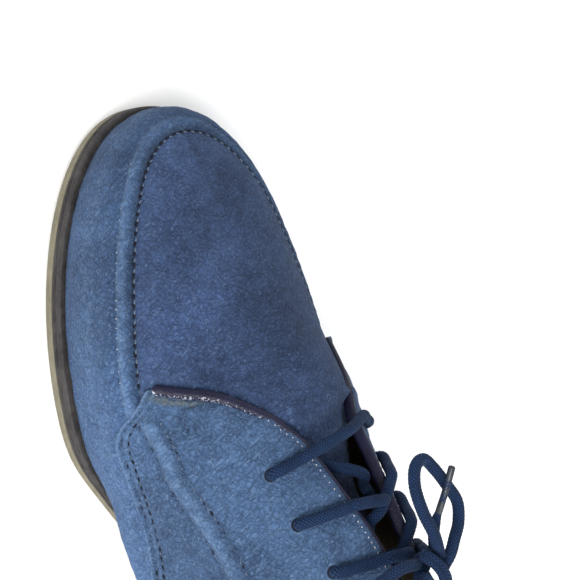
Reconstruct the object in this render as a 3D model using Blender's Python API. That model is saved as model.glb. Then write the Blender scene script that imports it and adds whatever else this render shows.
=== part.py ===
"""Left lace-up derby shoe with a raised apron seam, empty and standing on its sole.

Built in metres from millimetre tables.  Toe toward -Y, Z up, lateral side +X, medial side -X,
origin under the middle of the bounding box.  s runs back along the shoe, from TIP to HEEL_END.
"""
import math
import bpy
import bmesh
import numpy as np

MM = 0.001
TIP = 1.2                 # s at the front of the sole
HEEL_END = 290.0          # s at the back of the sole
X_CENTRE = 0.7            # middle of the sole's width, from the tables' own centre line
OUTSOLE_THICK = 4.2
MIDSOLE_THICK = 5.4
HEEL_LIFT = 14.0          # underside of the outsole above the floor at the heel seat
TOE_SPRING = 4.5
FLAT_FROM = 84.0          # forefoot flat on the floor between these two
FLAT_TO = 134.0
BREAST = 208.0            # front face of the heel block
WALL = 2.2                # upper, outer face to lining
GAP = 0.3                 # clearance between curved neighbours
INSOLE_THICK = 3.0
TONGUE_THICK = 2.4
TONGUE_DROP = 7.4         # tongue face below the inside of the facings
LACE_RADIUS = 2.1
EYELET_RADIUS = 2.5
EYELET_INSET = 15.0       # eyelet centre from the facing edge, along the leather
KNOT_RISE = 4.6           # bow knot's strand above the instep
EYELET_ROWS = {1: (127.0, 143.5, 160.0, 178.0), -1: (125.5, 141.0, 155.5, 175.0)}     # lateral, medial
BOW_AT = 174.0
HEEL_START = 250.0        # heel arc begins
THROAT_START = 112.0
THROAT_CORNER = 122.0
THROAT_TOP = 184.0

COLUMN_GROUPS = (("toe", 12), ("vamp", 4), ("front", 4), ("facing", 10), ("collar", 8), ("heel", 6))
LOWER_BREAKS = (120.0, 132.0, 192.0, HEEL_START)      # lower rows: end of vamp, front, facing, collar
SPINE_START = 46.0
SPINE_JOIN = 84.0

# (front s, back s, tip x, corner powers: lateral tip, lateral side, medial tip, medial side)
CORNERS = {
    "feather": (4.2, 286.5, -2.1, 2.20, 1.87, 2.07, 2.70),
    "bulge": (2.7, 289.0, -2.1, 2.20, 1.87, 2.07, 2.70),
    "wall": (5.2, 288.0, -1.6, 2.10, 1.77, 1.97, 2.60),
    "seam": (13.6, 284.5, -1.7, 2.06, 1.65, 2.18, 2.04),
}
ROW_NAMES = ("feather", "bulge", "wall", "seam")

# (s, feather, bulge, wall, seam half widths, seam height)
LATERAL = (
    (105.0, 50.7, 52.4, 51.3, 45.5, 44.3),
    (125.0, 49.2, 51.8, 50.4, 45.2, 47.5),
    (145.0, 42.2, 49.6, 47.2, 41.8, 54.0),
    (165.0, 35.0, 49.6, 45.2, 39.6, 59.5),
    (185.0, 34.0, 47.0, 43.2, 37.4, 63.0),
    (205.0, 34.0, 42.2, 40.0, 35.5, 63.5),
    (225.0, 34.2, 38.8, 37.5, 34.3, 62.5),
    (250.0, 34.0, 37.5, 36.4, 33.4, 63.0),
)
MEDIAL = (
    (92.0, 49.3, 50.9, 48.5, 39.8, 48.5),
    (110.0, 44.8, 47.0, 45.2, 40.6, 53.0),
    (130.0, 37.8, 42.9, 42.7, 39.6, 60.0),
    (150.0, 32.2, 39.8, 40.8, 37.8, 64.0),
    (170.0, 28.8, 37.6, 38.8, 36.4, 67.0),
    (190.0, 28.8, 36.8, 37.4, 35.0, 68.0),
    (210.0, 30.8, 36.6, 36.6, 34.0, 66.5),
    (230.0, 32.5, 36.6, 36.2, 33.4, 65.0),
    (250.0, 33.0, 36.5, 35.8, 33.0, 65.0),
)
SEAM_TOE = ((13.6, 34.3), (35.0, 39.2), (65.0, 42.8))          # (s, height) before the tables start
RISE = ((0.0, 7.5, 15.0), (60.0, 9.0, 19.0), (105.0, 10.0, 21.5), (130.0, 10.0, 22.8), (160.0, 8.6, 24.4),
        (200.0, 11.5, 27.0), (290.0, 16.0, 29.0))               # (s, bulge, wall above the feather)
RIDGE = ((30.0, -2.0, 42.4), (46.0, -2.5, 46.5), (60.0, -3.5, 50.0), (75.0, -5.0, 55.1), (90.0, -7.0, 63.4),
         (104.0, -8.5, 72.2), (112.0, -8.8, 76.2), (125.0, -8.8, 83.2), (140.0, -8.4, 92.6),
         (155.0, -7.5, 101.4), (172.0, -6.3, 108.6), (184.0, -5.0, 112.6), (200.0, -4.0, 118.0))  # (s, x, z)
THROAT = ((122.0, 15.5), (128.0, 14.0), (140.0, 11.0), (155.0, 8.5), (172.0, 7.2), (184.0, 7.0))  # (s, half gap)
SAG = {1: ((112.0, 0.0), (126.0, 2.0), (166.0, 2.0), (184.0, 0.0)),    # (s, drop of each edge of the throat)
       -1: ((112.0, 0.0), (124.0, 4.2), (166.0, 4.2), (184.0, 0.0))}
SAG_SHIFT = {1: 1.0, -1: 0.27}    # sideways shift towards the lateral side for each millimetre of drop
COLLAR = ((184.0, 2.0, 111.9, -12.0, 111.9), (190.0, 11.5, 112.1, -20.0, 112.5),
          (199.0, 22.0, 106.4, -26.5, 107.6), (210.0, 28.8, 97.2, -30.0, 99.6),
          (222.0, 31.8, 89.0, -31.4, 91.8), (236.0, 32.3, 85.2, -31.3, 87.6),
          (250.0, 31.0, 86.0, -30.4, 88.0))                      # (s, lateral x, z, medial x, z)
# bow paths from the middle of the knot: (to the lateral side, out of the instep, toward the toe)
LOOP_MEDIAL = ((-3.9, 3.2, 3.5), (-1.4, 6.9, 11.5), (0.6, 7.8, 20.6), (0.0, 8.5, 29.5),
               (-3.1, 9.5, 36.1), (-7.7, 10.0, 37.2), (-11.7, 9.5, 32.2), (-15.3, 8.5, 24.9),
               (-18.4, 7.5, 17.3), (-15.6, 6.5, 10.5), (-10.2, 6.4, 6.0), (-7.0, 4.6, -1.4))
LOOP_LATERAL = ((3.3, 3.2, -3.6), (9.6, 7.6, -12.0), (19.0, 8.5, -20.0), (29.0, 5.5, -24.0), (36.0, 0.5, -21.0),
                (37.0, -2.0, -14.0), (30.0, 2.0, -8.0), (19.0, 5.5, -3.2), (7.0, 4.6, 0.4))
END_MEDIAL = ((-6.2, -0.8, 4.7), (-6.7, 3.0, 12.5), (-8.1, 8.0, 18.3), (-9.7, 12.5, 23.6),
              (-12.4, 16.5, 29.7))
END_LATERAL = ((4.8, 0.4, 4.7), (16.0, 3.0, 7.0), (26.0, -2.0, 5.0), (34.0, -10.0, 0.0), (39.0, -20.0, -7.0),
               (41.5, -30.0, -12.0))
COLLAR_BACK = (281.5, 94.0)                                      # (s, height) at the heel
MARGIN = ((0.0, 3.0), (50.0, 2.4), (110.0, 2.8), (150.0, 0.6), (170.0, 0.2), (200.0, 1.4), (290.0, 3.5))  # (s, sole past feather)


def clear_scene():
    for item in list(bpy.data.objects):
        bpy.data.objects.remove(item, do_unlink=True)


def smooth(table, x, column=1, flat_start=False, flat_end=False):
    xs = np.array([row[0] for row in table])
    ys = np.array([row[column] for row in table])
    h = np.diff(xs)
    d = np.diff(ys) / h
    m = np.empty_like(ys)
    m[1:-1] = (d[:-1] * h[1:] + d[1:] * h[:-1]) / (h[:-1] + h[1:])
    m[1:-1] = np.where(d[:-1] * d[1:] <= 0.0, 0.0, m[1:-1])
    m[0] = 0.0 if flat_start else d[0]
    m[-1] = 0.0 if flat_end else d[-1]
    x = min(max(x, xs[0]), xs[-1])
    i = min(int(np.searchsorted(xs, x, side="right")) - 1, len(h) - 1)
    t = (x - xs[i]) / h[i]
    a = 2 * t ** 3 - 3 * t ** 2 + 1
    b = t ** 3 - 2 * t ** 2 + t
    c = -2 * t ** 3 + 3 * t ** 2
    e = t ** 3 - t ** 2
    return float(a * ys[i] + b * h[i] * m[i] + c * ys[i + 1] + e * h[i] * m[i + 1])


def ease(x, start, end):
    t = min(max((x - start) / (end - start), 0.0), 1.0)
    return t * t * (3.0 - 2.0 * t)


def sole_base(s):
    spring = TOE_SPRING * max(0.0, (FLAT_FROM - s) / FLAT_FROM) ** 2.0
    return spring + HEEL_LIFT * ease(s, FLAT_TO, BREAST)


def outsole_top(s):
    return sole_base(s) + OUTSOLE_THICK


def midsole_top(s):
    return outsole_top(s) + 0.1 + MIDSOLE_THICK


def column_count():
    return sum(count for name, count in COLUMN_GROUPS)


def locate(column):
    left = column
    for index, (name, count) in enumerate(COLUMN_GROUPS):
        if left <= count or index == len(COLUMN_GROUPS) - 1:
            return index, name, min(max(left / count, 0.0), 1.0)
        left -= count
    return None


def lower_point(side, row, column):
    """Point on one of the four lower rows; side is +1 lateral, -1 medial."""
    front, back, tip = CORNERS[row][:3]
    table = LATERAL if side > 0 else MEDIAL
    which = 1 + ROW_NAMES.index(row)
    join = table[0][0]
    width = table[0][which]
    tip_power, side_power = CORNERS[row][3:5] if side > 0 else CORNERS[row][5:7]
    index, name, t = locate(column)
    if name == "toe":
        angle = t * math.pi / 2
        s = join - (join - front) * max(math.cos(angle), 0.0) ** (2.0 / side_power)
        x = side * tip + (width - side * tip) * math.sin(angle) ** (2.0 / tip_power)
    elif name == "heel":
        angle = t * math.pi / 2
        s = HEEL_START + (back - HEEL_START) * math.sin(angle) ** (2.0 / 2.2)
        x = table[-1][which] * max(math.cos(angle), 0.0) ** (2.0 / 2.2)
    else:
        low = join if name == "vamp" else LOWER_BREAKS[index - 2]
        s = low + (LOWER_BREAKS[index - 1] - low) * t
        x = smooth(table, s, which, True, True)
    base = midsole_top(s) + GAP
    if row == "bulge":
        base += smooth(RISE, s, 1)
    elif row == "wall":
        base += smooth(RISE, s, 2)
    elif row == "seam":
        heights = SEAM_TOE + tuple((r[0], r[5]) for r in table)
        base = smooth(heights, s, 1)
    return np.array((side * x, s, base))


def ridge_point(s):
    return np.array((smooth(RIDGE, s, 1), s, smooth(RIDGE, s, 2)))


def edge_point(side, s, half_gap):
    sag = smooth(SAG[side], s, 1, True, True)
    return ridge_point(s) + np.array((side * half_gap + SAG_SHIFT[side] * sag, 0.0, -half_gap ** 2 / 70.0 - sag))


def top_point(side, column):
    """Spine of the vamp, then the throat edge, then the collar."""
    index, name, t = locate(column)
    if name == "toe":
        return ridge_point(SPINE_JOIN - (SPINE_JOIN - SPINE_START) * math.cos(t * math.pi / 2))
    if name == "vamp":
        return ridge_point(SPINE_JOIN + (THROAT_START - SPINE_JOIN) * t)
    if name == "front":
        angle = t * math.pi / 2
        s = THROAT_START + (THROAT_CORNER - THROAT_START) * (1.0 - math.cos(angle))
        return edge_point(side, s, THROAT[0][1] * math.sin(angle))
    if name == "facing":
        s = THROAT_CORNER + (THROAT_TOP - THROAT_CORNER) * t
        return edge_point(side, s, smooth(THROAT, s, 1, True))
    at = 1 if side > 0 else 3
    if name == "collar":
        s = THROAT_TOP + (HEEL_START - THROAT_TOP) * t ** 1.25
        return np.array((smooth(COLLAR, s, at, False, True), s, smooth(COLLAR, s, at + 1, False, True)))
    angle = t * math.pi / 2
    s = HEEL_START + (COLLAR_BACK[0] - HEEL_START) * math.sin(angle) ** (2.0 / 2.1)
    x = COLLAR[-1][at] * max(math.cos(angle), 0.0) ** (2.0 / 2.1)
    z = COLLAR[-1][at + 1] + (COLLAR_BACK[1] - COLLAR[-1][at + 1]) * ease(s, HEEL_START, COLLAR_BACK[0])
    return np.array((x, s, z))


def unit(v):
    return v / max(float(np.linalg.norm(v)), 1e-9)


def over_direction(s):
    """Unit vector straight out of the instep at a distance from the toe."""
    return unit(np.cross(np.array((1.0, 0.0, 0.0)), ridge_point(s + 1.0) - ridge_point(s - 1.0)))


def profile(side, column, where):
    """Outer face of the upper at one column; where runs 0 feather, 1 bulge, 2 wall, 3 seam, 4 top."""
    points = [lower_point(side, row, column) for row in ROW_NAMES] + [top_point(side, column)]
    h = [max(float(np.linalg.norm(b - a)), 1e-6) for a, b in zip(points, points[1:])]
    d = [(b - a) / length for a, b, length in zip(points, points[1:], h)]
    m = [d[0]]
    for i in range(1, 4):
        m.append((d[i - 1] * h[i] + d[i] * h[i - 1]) / (h[i - 1] + h[i]))
    index, name, t = locate(column)
    free = unit(1.5 * d[3] - 0.5 * m[3])
    normal = over_direction(points[4][1])
    level = unit(d[3] - normal * float(np.dot(d[3], normal)))
    across = np.array((-side, 0.0, 0.0))
    blend = ease(t, 0.0, 1.0)
    if name == "toe":
        m.append(level)
    elif name == "vamp":
        m.append(unit(level + (across - level) * blend))
    elif name == "front":
        m.append(unit(across + (free - across) * blend))
    else:
        m.append(free)
    i = min(int(where), 3)
    t = where - i
    a = 2 * t ** 3 - 3 * t ** 2 + 1
    b = t ** 3 - 2 * t ** 2 + t
    c = -2 * t ** 3 + 3 * t ** 2
    e = t ** 3 - t ** 2
    return a * points[i] + b * h[i] * m[i] + c * points[i + 1] + e * h[i] * m[i + 1]


def normal_at(side, column, where):
    high = column_count()
    across = profile(side, min(column + 0.05, high), where) - profile(side, max(column - 0.05, 0.0), where)
    up = profile(side, column, min(where + 0.02, 4.0)) - profile(side, column, max(where - 0.02, 0.0))
    return unit(np.cross(across, up)) * side


def facing_column(s):
    before = sum(count for name, count in COLUMN_GROUPS[:3])
    return before + COLUMN_GROUPS[3][1] * (s - THROAT_CORNER) / (THROAT_TOP - THROAT_CORNER)


def down_from_edge(side, column, distance):
    """Where value at a distance from the top edge, measured along the leather."""
    walked = 0.0
    last = profile(side, column, 4.0)
    steps = 120
    for k in range(1, steps + 1):
        where = 4.0 - 3.0 * k / steps
        p = profile(side, column, where)
        step = float(np.linalg.norm(p - last))
        if walked + step >= distance:
            return where
        walked += step
        last = p
    return 1.0


def material(name, color, roughness, metallic=0.0):
    mat = bpy.data.materials.new(name)
    mat.use_nodes = True
    shader = mat.node_tree.nodes["Principled BSDF"]
    shader.inputs["Base Color"].default_value = (color[0], color[1], color[2], 1.0)
    shader.inputs["Roughness"].default_value = roughness
    shader.inputs["Metallic"].default_value = metallic
    return mat


def to_world(p):
    return ((p[0] - X_CENTRE) * MM, (p[1] - (TIP + HEEL_END) / 2) * MM, p[2] * MM)


def add_mesh(name, points, faces, mat):
    mesh = bpy.data.meshes.new(name)
    mesh.from_pydata([to_world(p) for p in points], [], faces)
    mesh.materials.append(mat)
    obj = bpy.data.objects.new(name, mesh)
    bpy.context.scene.collection.objects.link(obj)
    bm = bmesh.new()
    bm.from_mesh(mesh)
    bmesh.ops.remove_doubles(bm, verts=bm.verts, dist=0.00002)
    bmesh.ops.recalc_face_normals(bm, faces=bm.faces)
    bm.to_mesh(mesh)
    bm.free()
    for poly in mesh.polygons:
        poly.use_smooth = True
    return obj


def shell(points, faces, thickness):
    """Closed solid from an open outer face: inner face offset along the vertex normals, plus the rims."""
    points = np.array(points)
    normals = np.zeros_like(points)
    edges = {}
    for face in faces:
        corner = points[list(face)]
        area = np.zeros(3)
        for k in range(1, len(face) - 1):
            area += np.cross(corner[k] - corner[0], corner[k + 1] - corner[0])
        for v in face:
            normals[v] += area
        for a, b in zip(face, face[1:] + face[:1]):
            edges[(a, b)] = True
    normals /= np.linalg.norm(normals, axis=1)[:, None] + 1e-12
    inner = points - normals * thickness
    n = len(points)
    out = [tuple(face) for face in faces]
    out += [tuple(n + v for v in reversed(face)) for face in faces]
    for a, b in edges:
        if (b, a) not in edges:
            out.append((b, a, n + a, n + b))
    return np.vstack([points, inner]), out


UPPER_LEVELS = (0.0, 1.0, 1.5, 2.0, 2.5, 3.0, 3.18, 3.36, 3.56, 3.78, 4.0)


def build_upper(mat):
    high = column_count()
    shared = COLUMN_GROUPS[0][1] + COLUMN_GROUPS[1][1]
    points = []
    index = {}
    for side in (1, -1):
        for c in range(high + 1):
            for r, level in enumerate(UPPER_LEVELS):
                merged = c in (0, high) or (level == 4.0 and c <= shared)
                if side < 0 and merged:
                    index[(side, c, r)] = index[(1, c, r)]
                    continue
                index[(side, c, r)] = len(points)
                points.append(profile(side, float(c), level))
    faces = []
    for side in (1, -1):
        for c in range(high):
            for r in range(len(UPPER_LEVELS) - 1):
                loop = [index[(side, c, r)], index[(side, c + 1, r)],
                        index[(side, c + 1, r + 1)], index[(side, c, r + 1)]]
                if side < 0:
                    loop.reverse()
                faces.append(tuple(loop))
    solid_points, solid_faces = shell(points, faces, WALL)
    return add_mesh("upper", solid_points, solid_faces, mat)


def eyelet_places():
    places = []
    for row in range(len(EYELET_ROWS[1])):
        pair = {}
        for side in (1, -1):
            column = facing_column(EYELET_ROWS[side][row])
            where = down_from_edge(side, column, EYELET_INSET)
            pair[side] = (profile(side, column, where), normal_at(side, column, where))
        places.append(pair)
    return places


def ring(centre, axis, radius, sides, start=None):
    axis = unit(axis)
    ref = start if start is not None else np.array((0.0, 0.0, 1.0))
    if abs(float(np.dot(axis, unit(ref)))) > 0.95:
        ref = np.array((0.0, 1.0, 0.0))
    u = unit(ref - axis * float(np.dot(ref, axis)))
    v = np.cross(axis, u)
    return [centre + radius * (math.cos(a) * u + math.sin(a) * v)
            for a in (2 * math.pi * k / sides for k in range(sides))], u


def tube(path, radius, sides, closed=False):
    """Swept round tube with capped ends, or a closed ring."""
    points = []
    faces = []
    n = len(path)
    start = None
    for i in range(n):
        if closed:
            axis = path[(i + 1) % n] - path[i - 1]
        else:
            axis = path[min(i + 1, n - 1)] - path[max(i - 1, 0)]
        loop, start = ring(path[i], axis, radius, sides, start)
        points += loop
    for i in range(n if closed else n - 1):
        j = (i + 1) % n
        for k in range(sides):
            m = (k + 1) % sides
            faces.append((i * sides + k, i * sides + m, j * sides + m, j * sides + k))
    if not closed:
        faces.append(tuple(range(sides - 1, -1, -1)))
        faces.append(tuple((n - 1) * sides + k for k in range(sides)))
    return points, faces


def curve_through(knots, count):
    """Evenly sampled Catmull-Rom curve through the knots."""
    p = [np.array(k, float) for k in knots]
    p = [2 * p[0] - p[1]] + p + [2 * p[-1] - p[-2]]
    dense = []
    for i in range(1, len(p) - 2):
        for k in range(24):
            t = k / 24.0
            dense.append(0.5 * (2 * p[i] + (p[i + 1] - p[i - 1]) * t
                                + (2 * p[i - 1] - 5 * p[i] + 4 * p[i + 1] - p[i + 2]) * t * t
                                + (3 * p[i] - p[i - 1] - 3 * p[i + 1] + p[i + 2]) * t ** 3))
    dense.append(p[-2])
    dense = np.array(dense)
    run = np.concatenate([[0.0], np.cumsum(np.linalg.norm(np.diff(dense, axis=0), axis=1))])
    want = np.linspace(0.0, run[-1], count)
    return [np.array([np.interp(w, run, dense[:, a]) for a in range(3)]) for w in want]


def hide_cutter(obj):
    obj.hide_render = True
    obj.hide_viewport = False
    obj.display_type = "WIRE"


def combine(obj, other, operation):
    hide_cutter(other)
    mod = obj.modifiers.new(operation.lower(), "BOOLEAN")
    mod.operation = operation
    mod.solver = "EXACT"
    mod.object = other


def punch_eyelets(upper, mat):
    points = []
    faces = []
    for pair in eyelet_places():
        for side in (1, -1):
            centre, normal = pair[side]
            path = [centre - normal * (WALL + 2.5), centre + normal * 2.5]
            more, more_faces = tube(path, EYELET_RADIUS, 12)
            base = len(points)
            points += more
            faces += [tuple(base + v for v in face) for face in more_faces]
    combine(upper, add_mesh("eyelet_punch", points, faces, mat), "DIFFERENCE")


def outline_point(side, column, offset):
    """Plan point of the feather line moved out by an offset; the tips stay on the centre line."""
    high = column_count()
    p = lower_point(side, "feather", column)
    a = lower_point(side, "feather", max(column - 0.02, 0.0))
    b = lower_point(side, "feather", min(column + 0.02, high))
    if column < 0.02:
        out = np.array((0.0, -1.0, 0.0))
    elif column > high - 0.02:
        out = np.array((0.0, 1.0, 0.0))
    else:
        run = unit(np.array((b[0] - a[0], b[1] - a[1], 0.0)))
        out = np.array((run[1], -run[0], 0.0)) * side
    return np.array((p[0], p[1], 0.0)) + out * offset


def margin_point(side, column, extra):
    """Plan point on the sole's edge, which follows the welt margin along the foot."""
    s = lower_point(side, "feather", column)[1]
    return outline_point(side, column, smooth(MARGIN, s, 1) + extra)


def plate(name, placer, columns, rings, mat, across=3, open_front=False):
    """Flat piece under the foot: rings of (offset, height function) from the bottom up."""
    points = []
    faces = []
    index = {}
    last = len(columns) - 1

    def place(level, j, k):
        offset, height = rings[level]
        collapsed = (j == last) or (j == 0 and not open_front)
        key = (level, j, 0 if collapsed else k)
        if key not in index:
            left = placer(1, columns[j], offset)
            right = placer(-1, columns[j], offset)
            p = left + (right - left) * (0.0 if collapsed else k / across)
            p[2] = height(p[1])
            index[key] = len(points)
            points.append(p)
        return index[key]

    border = [(j, 0) for j in range(last + 1)] + [(j, across) for j in range(last - 1, 0, -1)]
    if open_front:
        border += [(0, k) for k in range(across, 0, -1)]
    for level in (0, len(rings) - 1):
        for j in range(last):
            for k in range(across):
                loop = [place(level, j, k), place(level, j + 1, k),
                        place(level, j + 1, k + 1), place(level, j, k + 1)]
                kept = [v for i, v in enumerate(loop) if v != loop[i - 1]]
                faces.append(tuple(kept) if level == 0 else tuple(reversed(kept)))
    for level in range(len(rings) - 1):
        for (j0, k0), (j1, k1) in zip(border, border[1:] + border[:1]):
            faces.append((place(level, j0, k0), place(level, j1, k1),
                          place(level + 1, j1, k1), place(level + 1, j0, k0)))
    return add_mesh(name, points, faces, mat)


def column_at_s(side, s):
    """Column of the feather line at a distance from the toe."""
    low, high = 0.0, float(column_count())
    for _ in range(40):
        middle = (low + high) / 2
        if lower_point(side, "feather", middle)[1] < s:
            low = middle
        else:
            high = middle
    return low


def build_sole(tan, dark, cork):
    every = [float(c) for c in range(column_count() + 1)]
    plate("outsole", margin_point, every,
          [(-1.4, sole_base), (-0.2, lambda s: sole_base(s) + 0.9),
           (0.0, lambda s: outsole_top(s) - 0.5), (-0.4, outsole_top)], tan)
    plate("midsole", margin_point, every,
          [(-0.7, lambda s: outsole_top(s) + 0.1), (-0.2, lambda s: outsole_top(s) + 0.7),
           (-0.2, lambda s: midsole_top(s) - 1.0), (-1.1, midsole_top)], dark)
    start = column_at_s(1, BREAST + 2.0)
    heel = [start] + [c for c in every if c > start + 0.4]
    plate("heel", margin_point, heel,
          [(-1.6, lambda s: 0.0), (-0.6, lambda s: 1.0),
           (-0.3, lambda s: sole_base(s) - 0.1)], tan, 3, True)
    inner = -(WALL + 1.0)
    plate("insole", outline_point, every,
          [(inner, lambda s: midsole_top(s) + 0.1),
           (inner, lambda s: midsole_top(s) + 0.1 + INSOLE_THICK)], cork)


def tongue_row(column):
    """Across the tongue at one column, lateral side first: (point, normal) pairs on the upper's outer face."""
    index, name, t = locate(column)
    reach = 17.0
    row = []
    for side in (1, -1):
        part = []
        for distance in (reach, reach * 0.66, reach * 0.33, 0.5):
            where = down_from_edge(side, column, distance)
            part.append((profile(side, column, where), normal_at(side, column, where)))
        row += part if side > 0 else part[::-1]
    a, b = row[3], row[4]
    crown = (a[0] + b[0]) / 2 + unit(a[1] + b[1]) * 0.6
    row.insert(4, (crown, unit(a[1] + b[1])))
    return row


def build_tongue(mat):
    first = COLUMN_GROUPS[0][1] + 1.0
    last = sum(count for name, count in COLUMN_GROUPS[:4]) - 0.3
    rows = []
    for column in np.linspace(first, last, 15):
        row = [p - n * (WALL + TONGUE_DROP * ease(column, first, first + 3) + 1.0) for p, n in tongue_row(column)]
        rows.append(row)
    run = unit(rows[-1][4] - rows[-2][4])
    for k, (step, lift) in enumerate(((6.0, 0.6), (12.0, 2.0), (17.0, 4.2))):
        base = rows[14]
        middle = base[4]
        spread = 1.0 - 0.05 * (k + 1) ** 1.6
        rows.append([middle + (p - middle) * spread + run * step + np.array((0.0, -lift, lift * 0.4))
                     for p in base])
    count = len(rows[0])
    points = [p for row in rows for p in row]
    faces = []
    for j in range(len(rows) - 1):
        for k in range(count - 1):
            faces.append((j * count + k, (j + 1) * count + k, (j + 1) * count + k + 1, j * count + k + 1))
    solid_points, solid_faces = shell(points, faces, TONGUE_THICK)
    return add_mesh("tongue", solid_points, solid_faces, mat)


def edge_knot(side, s, height, inset=0.0):
    """Point beside the facing edge: height out of the leather, inset away from the throat."""
    column = facing_column(s)
    where = down_from_edge(side, column, inset) if inset > 0.0 else 4.0
    shift = np.array((side * min(inset, 0.0), 0.0, 0.0))
    return profile(side, column, where) + normal_at(side, column, min(where, 3.95)) * height + shift


def cross_strand(start_side, row, lift, places):
    """Lace from an eyelet's mouth over its facing, across the throat and under the other facing."""
    a, na = places[row][start_side]
    sa, sb = EYELET_ROWS[start_side][row], EYELET_ROWS[-start_side][row + 1]
    rise = LACE_RADIUS + 0.8
    under = -(WALL + LACE_RADIUS + 1.6)
    step = sb - sa
    middle = ridge_point(sa + step * 0.5) + over_direction(sa + step * 0.5) * (lift - 1.5)
    return [a + na * rise,
            edge_knot(start_side, sa + step * 0.16, rise + 0.3, 7.0),
            edge_knot(start_side, sa + step * 0.26, rise + 0.6, 1.0),
            edge_knot(start_side, sa + step * 0.33, rise + 2.0, -3.3),
            middle,
            edge_knot(-start_side, sa + step * 0.63, under + 0.6, -2.6),
            edge_knot(-start_side, sa + step * 0.72, under - 1.2, 0.4),
            edge_knot(-start_side, sa + step * 0.90, under, 8.5)]


def bar_knots(row, lift, places):
    a, na = places[row][1]
    b, nb = places[row][-1]
    sa, sb = EYELET_ROWS[1][row], EYELET_ROWS[-1][row]
    middle = min(sa, sb)
    rise = LACE_RADIUS + 0.6
    return [a + na * rise, edge_knot(1, sa, rise + 0.4, 5.0), edge_knot(1, sa, rise + 0.6),
            ridge_point(middle) + over_direction(middle) * (rise + lift),
            edge_knot(-1, sb, rise + 0.6), edge_knot(-1, sb, rise + 0.4, 5.0), b + nb * rise]


def add_cord(name, knots, count, mat):
    path = curve_through(knots, count)
    data = bpy.data.curves.new(name, "CURVE")
    data.dimensions = "3D"
    data.bevel_depth = LACE_RADIUS * MM
    data.bevel_resolution = 2
    data.use_fill_caps = True
    data.resolution_u = 1
    spline = data.splines.new("POLY")
    spline.points.add(len(path) - 1)
    for point, p in zip(spline.points, path):
        w = to_world(p)
        point.co = (w[0], w[1], w[2], 1.0)
    data.materials.append(mat)
    obj = bpy.data.objects.new(name, data)
    bpy.context.scene.collection.objects.link(obj)
    return obj


def bow_frame():
    """Middle of the knot, with unit vectors out of the instep and up along it toward the toe."""
    out = over_direction(BOW_AT)
    forward = unit(np.cross(out, np.array((1.0, 0.0, 0.0))))
    if forward[1] > 0:
        forward = -forward
    return ridge_point(BOW_AT) + out * (LACE_RADIUS + KNOT_RISE), out, forward


def build_laces(mat):
    places = eyelet_places()
    points, faces = tube(curve_through(bar_knots(0, 0.2, places), 20), LACE_RADIUS, 8)
    add_mesh("lace_bar", points, faces, mat)
    for row, label in ((1, "lower"), (2, "upper")):
        below = cross_strand(-1, row, -1.8, places)
        above = cross_strand(1, row, 1.8, places)
        points, faces = tube(curve_through(below, 18), LACE_RADIUS, 8)
        cross = add_mesh("lace_cross_" + label, points, faces, mat)
        points, faces = tube(curve_through(above, 18), LACE_RADIUS, 8)
        combine(cross, add_mesh("lace_strand_" + label, points, faces, mat), "UNION")
    points, faces = tube(curve_through(bar_knots(3, KNOT_RISE, places), 22), LACE_RADIUS, 8)
    knot = add_mesh("lace_knot", points, faces, mat)
    centre, out, forward = bow_frame()
    side = np.array((1.0, 0.0, 0.0))
    wrap = []
    for k in range(16):
        a = 2 * math.pi * k / 16
        wrap.append(centre + out * math.cos(a) * (2.0 * LACE_RADIUS + 0.1)
                    + forward * math.sin(a) * (2.0 * LACE_RADIUS + 0.6) + side * 1.2 * math.sin(a))
    points, faces = tube(wrap, LACE_RADIUS * 1.1, 8, True)
    combine(knot, add_mesh("lace_wrap", points, faces, mat), "UNION")

    def bow(*steps):
        return [centre + side * x + out * o + forward * f for x, o, f in steps]

    add_cord("lace_loop_medial", bow(*LOOP_MEDIAL), 30, mat)
    add_cord("lace_loop_lateral", bow(*LOOP_LATERAL), 30, mat)
    add_cord("lace_end_medial", bow(*END_MEDIAL), 18, mat)
    add_cord("lace_end_lateral", bow(*END_LATERAL), 22, mat)


def main():
    clear_scene()
    suede = material("blue suede", (0.075, 0.130, 0.270), 0.9)
    tan = material("tan outsole", (0.260, 0.230, 0.170), 0.75)
    dark = material("charcoal midsole", (0.060, 0.055, 0.052), 0.7)
    cork = material("olive sock", (0.160, 0.140, 0.085), 0.8)
    shade = material("blue tongue", (0.060, 0.105, 0.215), 0.9)
    cord = material("navy lace", (0.020, 0.050, 0.100), 0.85)
    build_sole(tan, dark, cork)
    upper = build_upper(suede)
    punch_eyelets(upper, suede)
    build_tongue(shade)
    build_laces(cord)


main()
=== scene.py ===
import math
import bpy
import bmesh
import numpy as np
from mathutils import Matrix, Vector


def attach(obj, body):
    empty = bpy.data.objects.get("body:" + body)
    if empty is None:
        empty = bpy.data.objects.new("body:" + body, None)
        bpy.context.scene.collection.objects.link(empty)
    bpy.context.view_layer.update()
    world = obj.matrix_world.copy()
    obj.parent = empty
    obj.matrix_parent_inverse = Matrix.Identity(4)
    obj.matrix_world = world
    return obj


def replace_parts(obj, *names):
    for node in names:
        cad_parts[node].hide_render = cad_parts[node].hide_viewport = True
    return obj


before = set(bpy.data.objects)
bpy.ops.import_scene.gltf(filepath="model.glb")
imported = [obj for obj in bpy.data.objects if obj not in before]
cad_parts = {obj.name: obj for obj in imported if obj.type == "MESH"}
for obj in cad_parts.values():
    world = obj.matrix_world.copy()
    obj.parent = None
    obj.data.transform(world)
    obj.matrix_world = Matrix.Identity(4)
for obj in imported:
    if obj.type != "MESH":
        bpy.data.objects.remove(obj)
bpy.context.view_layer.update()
print("frame loaded,", len(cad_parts), "CAD nodes")

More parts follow.
